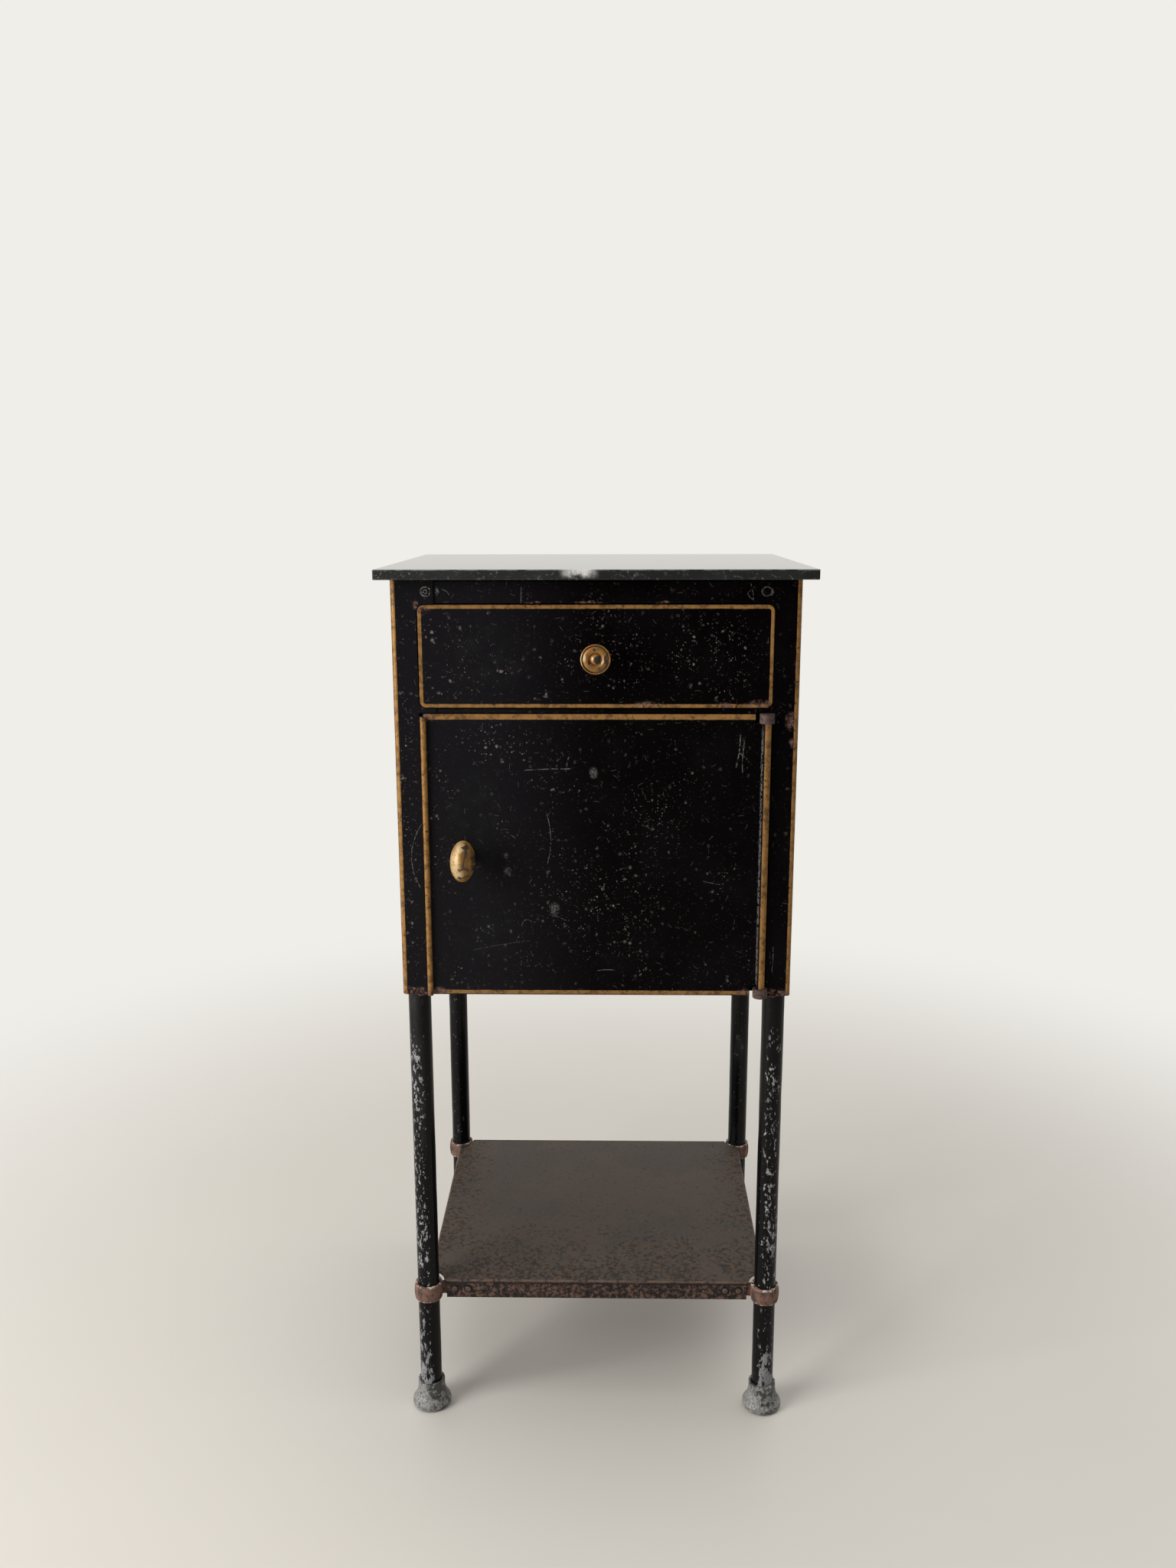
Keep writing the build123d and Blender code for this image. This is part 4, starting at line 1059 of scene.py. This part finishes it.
knobShape = dict(
    corners=[
        (2.7, 0.0), (7.4, 0.0), (7.4, 2.0), (4.9, 3.6), (4.8, 10.5), (7.5, 15.5), (13.0, 18.4), (13.75, 20.0),
        (13.5, 21.7), (12.6, 21.9), (12.1, 20.4), (10.7, 21.4), (8.4, 22.0), (6.2, 21.1), (5.0, 19.9),
        (2.7, 19.9),
    ],
    rounding=[0.5, 0.6, 1.4, 3.0, 2.6, 1.0, 0.7, 0.5, 0.4, 0.3, 0.9, 1.3, 1.0, 0.4],
    studCorners=[
        (0.8, -9.0), (2.5, -9.0), (2.5, 20.0), (4.7, 20.0), (4.5, 21.6), (2.8, 23.5), (0.4, 23.75),
    ],
    studRounding=[0.3, 0.1, 0.3, 0.7, 1.4], grooves=[(12.1, 0.75, 0.3)],
    # Rubbed and lit places are painted highlights on the slopes facing the lamp; stained and shaded ones are
    # mostly painted shade on the slopes away from it
    rubbedAndLit=[((-12.8, 0.0), 2.6, 9), ((-9.8, 1.2), 1.6, 5), ((5.8, -1), 1.8, 4.4)],
    stainedAndShaded=[
        ((9.6, 0.0), 3, 8), ((-1.4, 8.4), 2.4, 3), ((-5.8, -4), 2.2, 6),
        ((2, -8.6), 5, 2.2),
    ],
    studRubbedAndLit=[((-2.8, 0.6), 1.6, 2.4)],
    studStainedAndShaded=[((2, -0.2), 4.8, 5.2), ((2, -0.2), 4.8, 5.2)],
)


def makeDrawerKnob():
    # Turned outlines (radius, height) laid level, so that their height points to the front
    shape = knobShape
    low, high = boxOf("drawer_knob")
    seat = ((low[0] + high[0]) / 2, caseFront, (low[2] + high[2]) / 2)
    middle = (seat[0], seat[2])
    knobCoat = brassFinish(
        "drawerKnobBrass", middle, rubbedAndLit=shape["rubbedAndLit"], stainedAndShaded=shape["stainedAndShaded"],
        grooves=shape["grooves"])
    studCoat = brassFinish(
        "drawerStudBrass", middle, rubbedAndLit=shape["studRubbedAndLit"], stainedAndShaded=shape["studStainedAndShaded"])
    outline = roundCorners(shape["corners"], shape["rounding"]) * mm
    shell = gridShell(standOn(spin(outline, 96), seat, (0, -1, 0)))
    makePiece("drawerPull", [shell], knobCoat, "drawer", "aged_brass", "drawer_knob")
    outline = roundCorners(shape["studCorners"], shape["studRounding"]) * mm
    shell = gridShell(standOn(spin(outline, 48), seat, (0, -1, 0)))
    makePiece("drawerPullStud", [shell], studCoat, "drawer", "aged_brass", "drawer_knob_stud")


makeDrawerKnob()


# Door knob: an upright egg, its front shell set in a lipped back, on a short collared neck

eggShape = dict(
    halfWidth=11.6, halfHeight=19.9, depth=23.2, lean=4.0, dent=0.012, frontShares=(0.95, 0.49),
    frontTurn=(0.03, np.pi / 2), backTurn=(0.12, 1.25),
    lipShares=[(0.91, 0.50), (0.93, 0.515), (0.985, 0.52), (1.0, 0.535), (1.0, 0.56)],
    collar=[(2.0, 0.0), (7.0, 0.0), (7.0, 3.0), (5.0, 4.4), (4.9, 16.0)],
    collarRounding=[0.4, 0.9, 1.2], blotched=0.02,
    # Rubbed and lit places are painted highlights on the egg's left; stained and shaded ones are real stains
    # and painted shade on its right
    rubbedAndLit=[((-6.6, 1), 7.2, 17), ((-1.5, 15), 6, 6), ((-4, -9), 8, 8)],
    stainedAndShaded=[
        ((4, 13), 5, 6.2), ((10.4, -1), 3.2, 15), ((-2, -13.5), 3, 2.2),
        ((2, -4.5), 3.6, 2.6),
    ],
    veins=[
        ((2.8, 16), (3.6, 6), 1, 1.8), ((3.6, 7), (1.8, -3.6), -0.4, 1.3),
        ((2, -3), (-3.4, -4.6), 1, 1.4), ((1.6, -3.2), (6.6, -7), 1, 1.6),
        ((-0.4, -13.4), (5.6, -10.8), -0.6, 1), ((-3, -4.4), (-0.6, -7.2), 0.0, 1),
    ],
)


def makeDoorKnob():
    # A profile (share of the oval, share of the depth) carried round it: rounded front, lip, rounded back
    shape = eggShape
    low, high = boxOf("door_knob")
    middle = (low + high) / 2
    front = np.linspace(*shape["frontTurn"], 30)
    back = np.linspace(*shape["backTurn"], 16)
    rim, rise = shape["frontShares"]
    backStart = shape["lipShares"][-1][1]
    profile = np.concatenate([
        np.stack([rim * np.sin(front), rise * (1 - np.cos(front))], axis=-1),
        np.array(shape["lipShares"]),
        np.stack([np.cos(back), backStart + (1 - backStart) * np.sin(back)], axis=-1),
    ])
    angle = np.linspace(0, 2 * np.pi, 88, endpoint=False)
    share, depth = profile[:, :1], profile[:, 1:]
    across = shape["halfWidth"] * share * np.cos(angle)
    upright = shape["halfHeight"] * share * np.sin(angle)
    egg = np.stack([across, shape["depth"] * depth + 0 * angle, upright], axis=-1) * mm
    egg[..., ::2] *= 1 - shape["dent"] * np.clip(ripple(egg, 14 * mm, 12), 0, 2)[..., None]
    lean = math.radians(shape["lean"])
    cosine, sine = math.cos(lean), math.sin(lean)
    turn = np.array([[cosine, 0, sine], [0, 1, 0], [-sine, 0, cosine]])
    egg = egg @ turn.T + (middle[0], low[1] + 0.1 * mm, middle[2])
    outline = roundCorners(shape["collar"], shape["collarRounding"]) * mm
    stem = standOn(spin(outline, 48), (middle[0], high[1], middle[2]), (0, -1, 0))
    eggCoat = brassFinish(
        "doorKnobBrass", (middle[0], middle[2]), rubbedAndLit=shape["rubbedAndLit"], stainedAndShaded=shape["stainedAndShaded"],
        veins=shape["veins"], blotched=shape["blotched"])
    makePiece("doorKnob", [gridShell(egg), gridShell(stem)], eggCoat, "latch", "aged_brass", "door_knob")
    paintNodes(eggCoat, "latch_bush")


makeDoorKnob()


# Brazing that has run round the legs where they leave the case

brazeShape = dict(
    ring=12.0, thick=1.7, thinnest=0.5, thickest=3.2, sunk=0.9, drop=0.9, stretch=1.1,
    broadSwell=0.45, smallSwell=0.2,
)


def makeBrazing():
    # Lumpy ring: a small circle carried round each leg, its radius swollen by ripples
    shape = brazeShape
    turn = np.linspace(0, 2 * np.pi, 72, endpoint=False)
    shells = []
    for number, axis in enumerate(legAxes):
        section = np.linspace(0, 2 * np.pi, 14, endpoint=False)[:, None]
        seedRing = np.stack([np.cos(turn), np.sin(turn), 0 * turn], axis=-1) * shape["ring"] * mm
        broad = shape["broadSwell"] * ripple(seedRing, 11 * mm, 110 + number)
        small = shape["smallSwell"] * ripple(seedRing, 5 * mm, 120 + number)
        swell = np.clip(shape["thick"] * (1 + broad + small), shape["thinnest"], shape["thickest"])
        radius = shape["ring"] - shape["sunk"] + swell * np.cos(section)
        height = -shape["drop"] + shape["stretch"] * swell * np.sin(section)
        points = np.stack([radius * np.cos(turn), radius * np.sin(turn), height], axis=-1) * mm
        shells.append(gridShell(points + (*axis, caseLow[2]), ring=True))
    makePiece("brazing", shells, rustCoat, "frame", "rusted_iron")


makeBrazing()
print("pieces made")


# Floor, light and camera

stage = dict(
    floorHalf=6.0, floor=tint(205, 201, 195), floorDark=tint(196, 191, 184), room=tint(240, 238, 233),
    fadeNear=0.5, fadeFar=1.5, dim=0.06, bright=0.95, dimUpTo=-0.75, brightFrom=0.1,
)


def makeFloor():
    # A flat square; far from the cabinet it fades into the room's own colour
    half = stage["floorHalf"]
    mesh = bpy.data.meshes.new("paleFloor")
    corners = [(-half, -half, 0), (half, -half, 0), (half, half, 0), (-half, half, 0)]
    mesh.from_pydata(corners, [], [(0, 1, 2, 3)])
    floor = bpy.data.objects.new("paleFloor", mesh)
    bpy.context.scene.collection.objects.link(floor)
    coat = Finish("paleFloorPaint")
    cloudy = coat.times(coat.blots(500, 1.0, 0.3, 0.7), 0.25)
    coat.colour = coat.mix(cloudy, stage["floor"], stage["floorDark"])
    ground = coat.done(0.6)
    glow = coat.node("ShaderNodeEmission", {"Color": stage["room"], "Strength": 1.0}).outputs[0]
    distance = coat.vector("LENGTH", coat.stretched(1.0, 1.0, 0.0))
    away = coat.ease(distance, stage["fadeNear"], stage["fadeFar"])
    seen = coat.node("ShaderNodeLightPath").outputs["Is Camera Ray"]
    sockets = {0: coat.times(away, seen), 1: coat.shader.outputs[0], 2: glow}
    blended = coat.node("ShaderNodeMixShader", sockets).outputs[0]
    output = next(made for made in coat.tree.nodes if made.type == "OUTPUT_MATERIAL")
    coat.tree.links.new(blended, output.inputs["Surface"])
    mesh.materials.append(ground)


def makeRoom():
    # Bright behind and above the cabinet and dim in front of it; the camera sees a plain pale wall
    scene = bpy.context.scene
    scene.world = bpy.data.worlds.new("paleRoom")
    scene.world.use_nodes = True
    tree = scene.world.node_tree
    tree.nodes.clear()
    place = addNode(tree, "ShaderNodeTexCoord").outputs["Generated"]
    way = addNode(tree, "ShaderNodeSeparateXYZ", {0: place}).outputs
    sockets = {"Value": way[1], "From Min": stage["dimUpTo"], "From Max": stage["brightFrom"]}
    sockets |= {"To Min": stage["dim"], "To Max": stage["bright"]}
    behind = addNode(tree, "ShaderNodeMapRange", sockets, interpolation_type="SMOOTHSTEP").outputs[0]
    seen = addNode(tree, "ShaderNodeLightPath").outputs["Is Camera Ray"]
    strength = addNode(tree, "ShaderNodeMix", {0: seen, 2: behind, 3: 1.0}, data_type="FLOAT").outputs[0]
    background = addNode(tree, "ShaderNodeBackground", {"Color": stage["room"], "Strength": strength})
    output = addNode(tree, "ShaderNodeOutputWorld")
    tree.links.new(background.outputs[0], output.inputs["Surface"])


lamps = dict(
    window=dict(
        place=(-2.1, -1.5, 1.2), target=(0, 0, 0.6), size=(1.4, 1.8), power=72, colour=(1.0, 0.98, 0.95)),
    ceiling=dict(
        place=(0.3, -0.2, 2.6), target=(0, 0, 0.5), size=(2.4, 2.4), power=22, colour=(1.0, 1.0, 1.0)),
)


def makeLamp(name, place, target, size, power, colour):
    # Rectangle of light at a place, turned to its target
    lamp = bpy.data.lights.new(name, "AREA")
    lamp.shape = "RECTANGLE"
    lamp.size, lamp.size_y = size
    lamp.energy = power
    lamp.color = colour
    holder = bpy.data.objects.new(name, lamp)
    bpy.context.scene.collection.objects.link(holder)
    way = np.array(target) - np.array(place)
    back = -way / np.linalg.norm(way)
    right = np.cross((0, 0, 1), back)
    right /= np.linalg.norm(right)
    up = np.cross(back, right)
    rows = np.column_stack([right, up, back, place])
    holder.matrix_world = Matrix([*rows.tolist(), [0, 0, 0, 1]])


view = dict(
    focalPixels=1698.5, imageHeight=2048, sensor=36.0,
    aside=13.32 * mm, ahead=1172.1 * mm, height=926.8 * mm, pitch=0.21357, yaw=0.01741, roll=-0.00199,
)


def makeCamera():
    # Looks down by the pitch and left by the yaw from in front of the slab's front edge
    level = np.array([math.cos(view["yaw"]), math.sin(view["yaw"]), 0])
    ahead = np.array([-level[1], level[0], 0])
    forward = math.cos(view["pitch"]) * ahead - math.sin(view["pitch"]) * np.array([0, 0, 1])
    upright = np.cross(level, forward)
    right = math.cos(view["roll"]) * level + math.sin(view["roll"]) * upright
    up = np.cross(right, forward)
    place = (view["aside"], slabLow[1] - view["ahead"], view["height"])
    rows = np.column_stack([right, up, -forward, place])
    camera = bpy.data.objects.new("photoCamera", bpy.data.cameras.new("photoCamera"))
    bpy.context.scene.collection.objects.link(camera)
    camera.data.sensor_width = view["sensor"]
    camera.data.lens = view["focalPixels"] / view["imageHeight"] * view["sensor"]
    camera.matrix_world = Matrix([*rows.tolist(), [0, 0, 0, 1]])
    bpy.context.scene.camera = camera


makeFloor()
makeRoom()
for name, lamp in lamps.items():
    makeLamp(name, **lamp)
makeCamera()
bpy.context.scene.view_settings.view_transform = "Standard"
print("stage set")
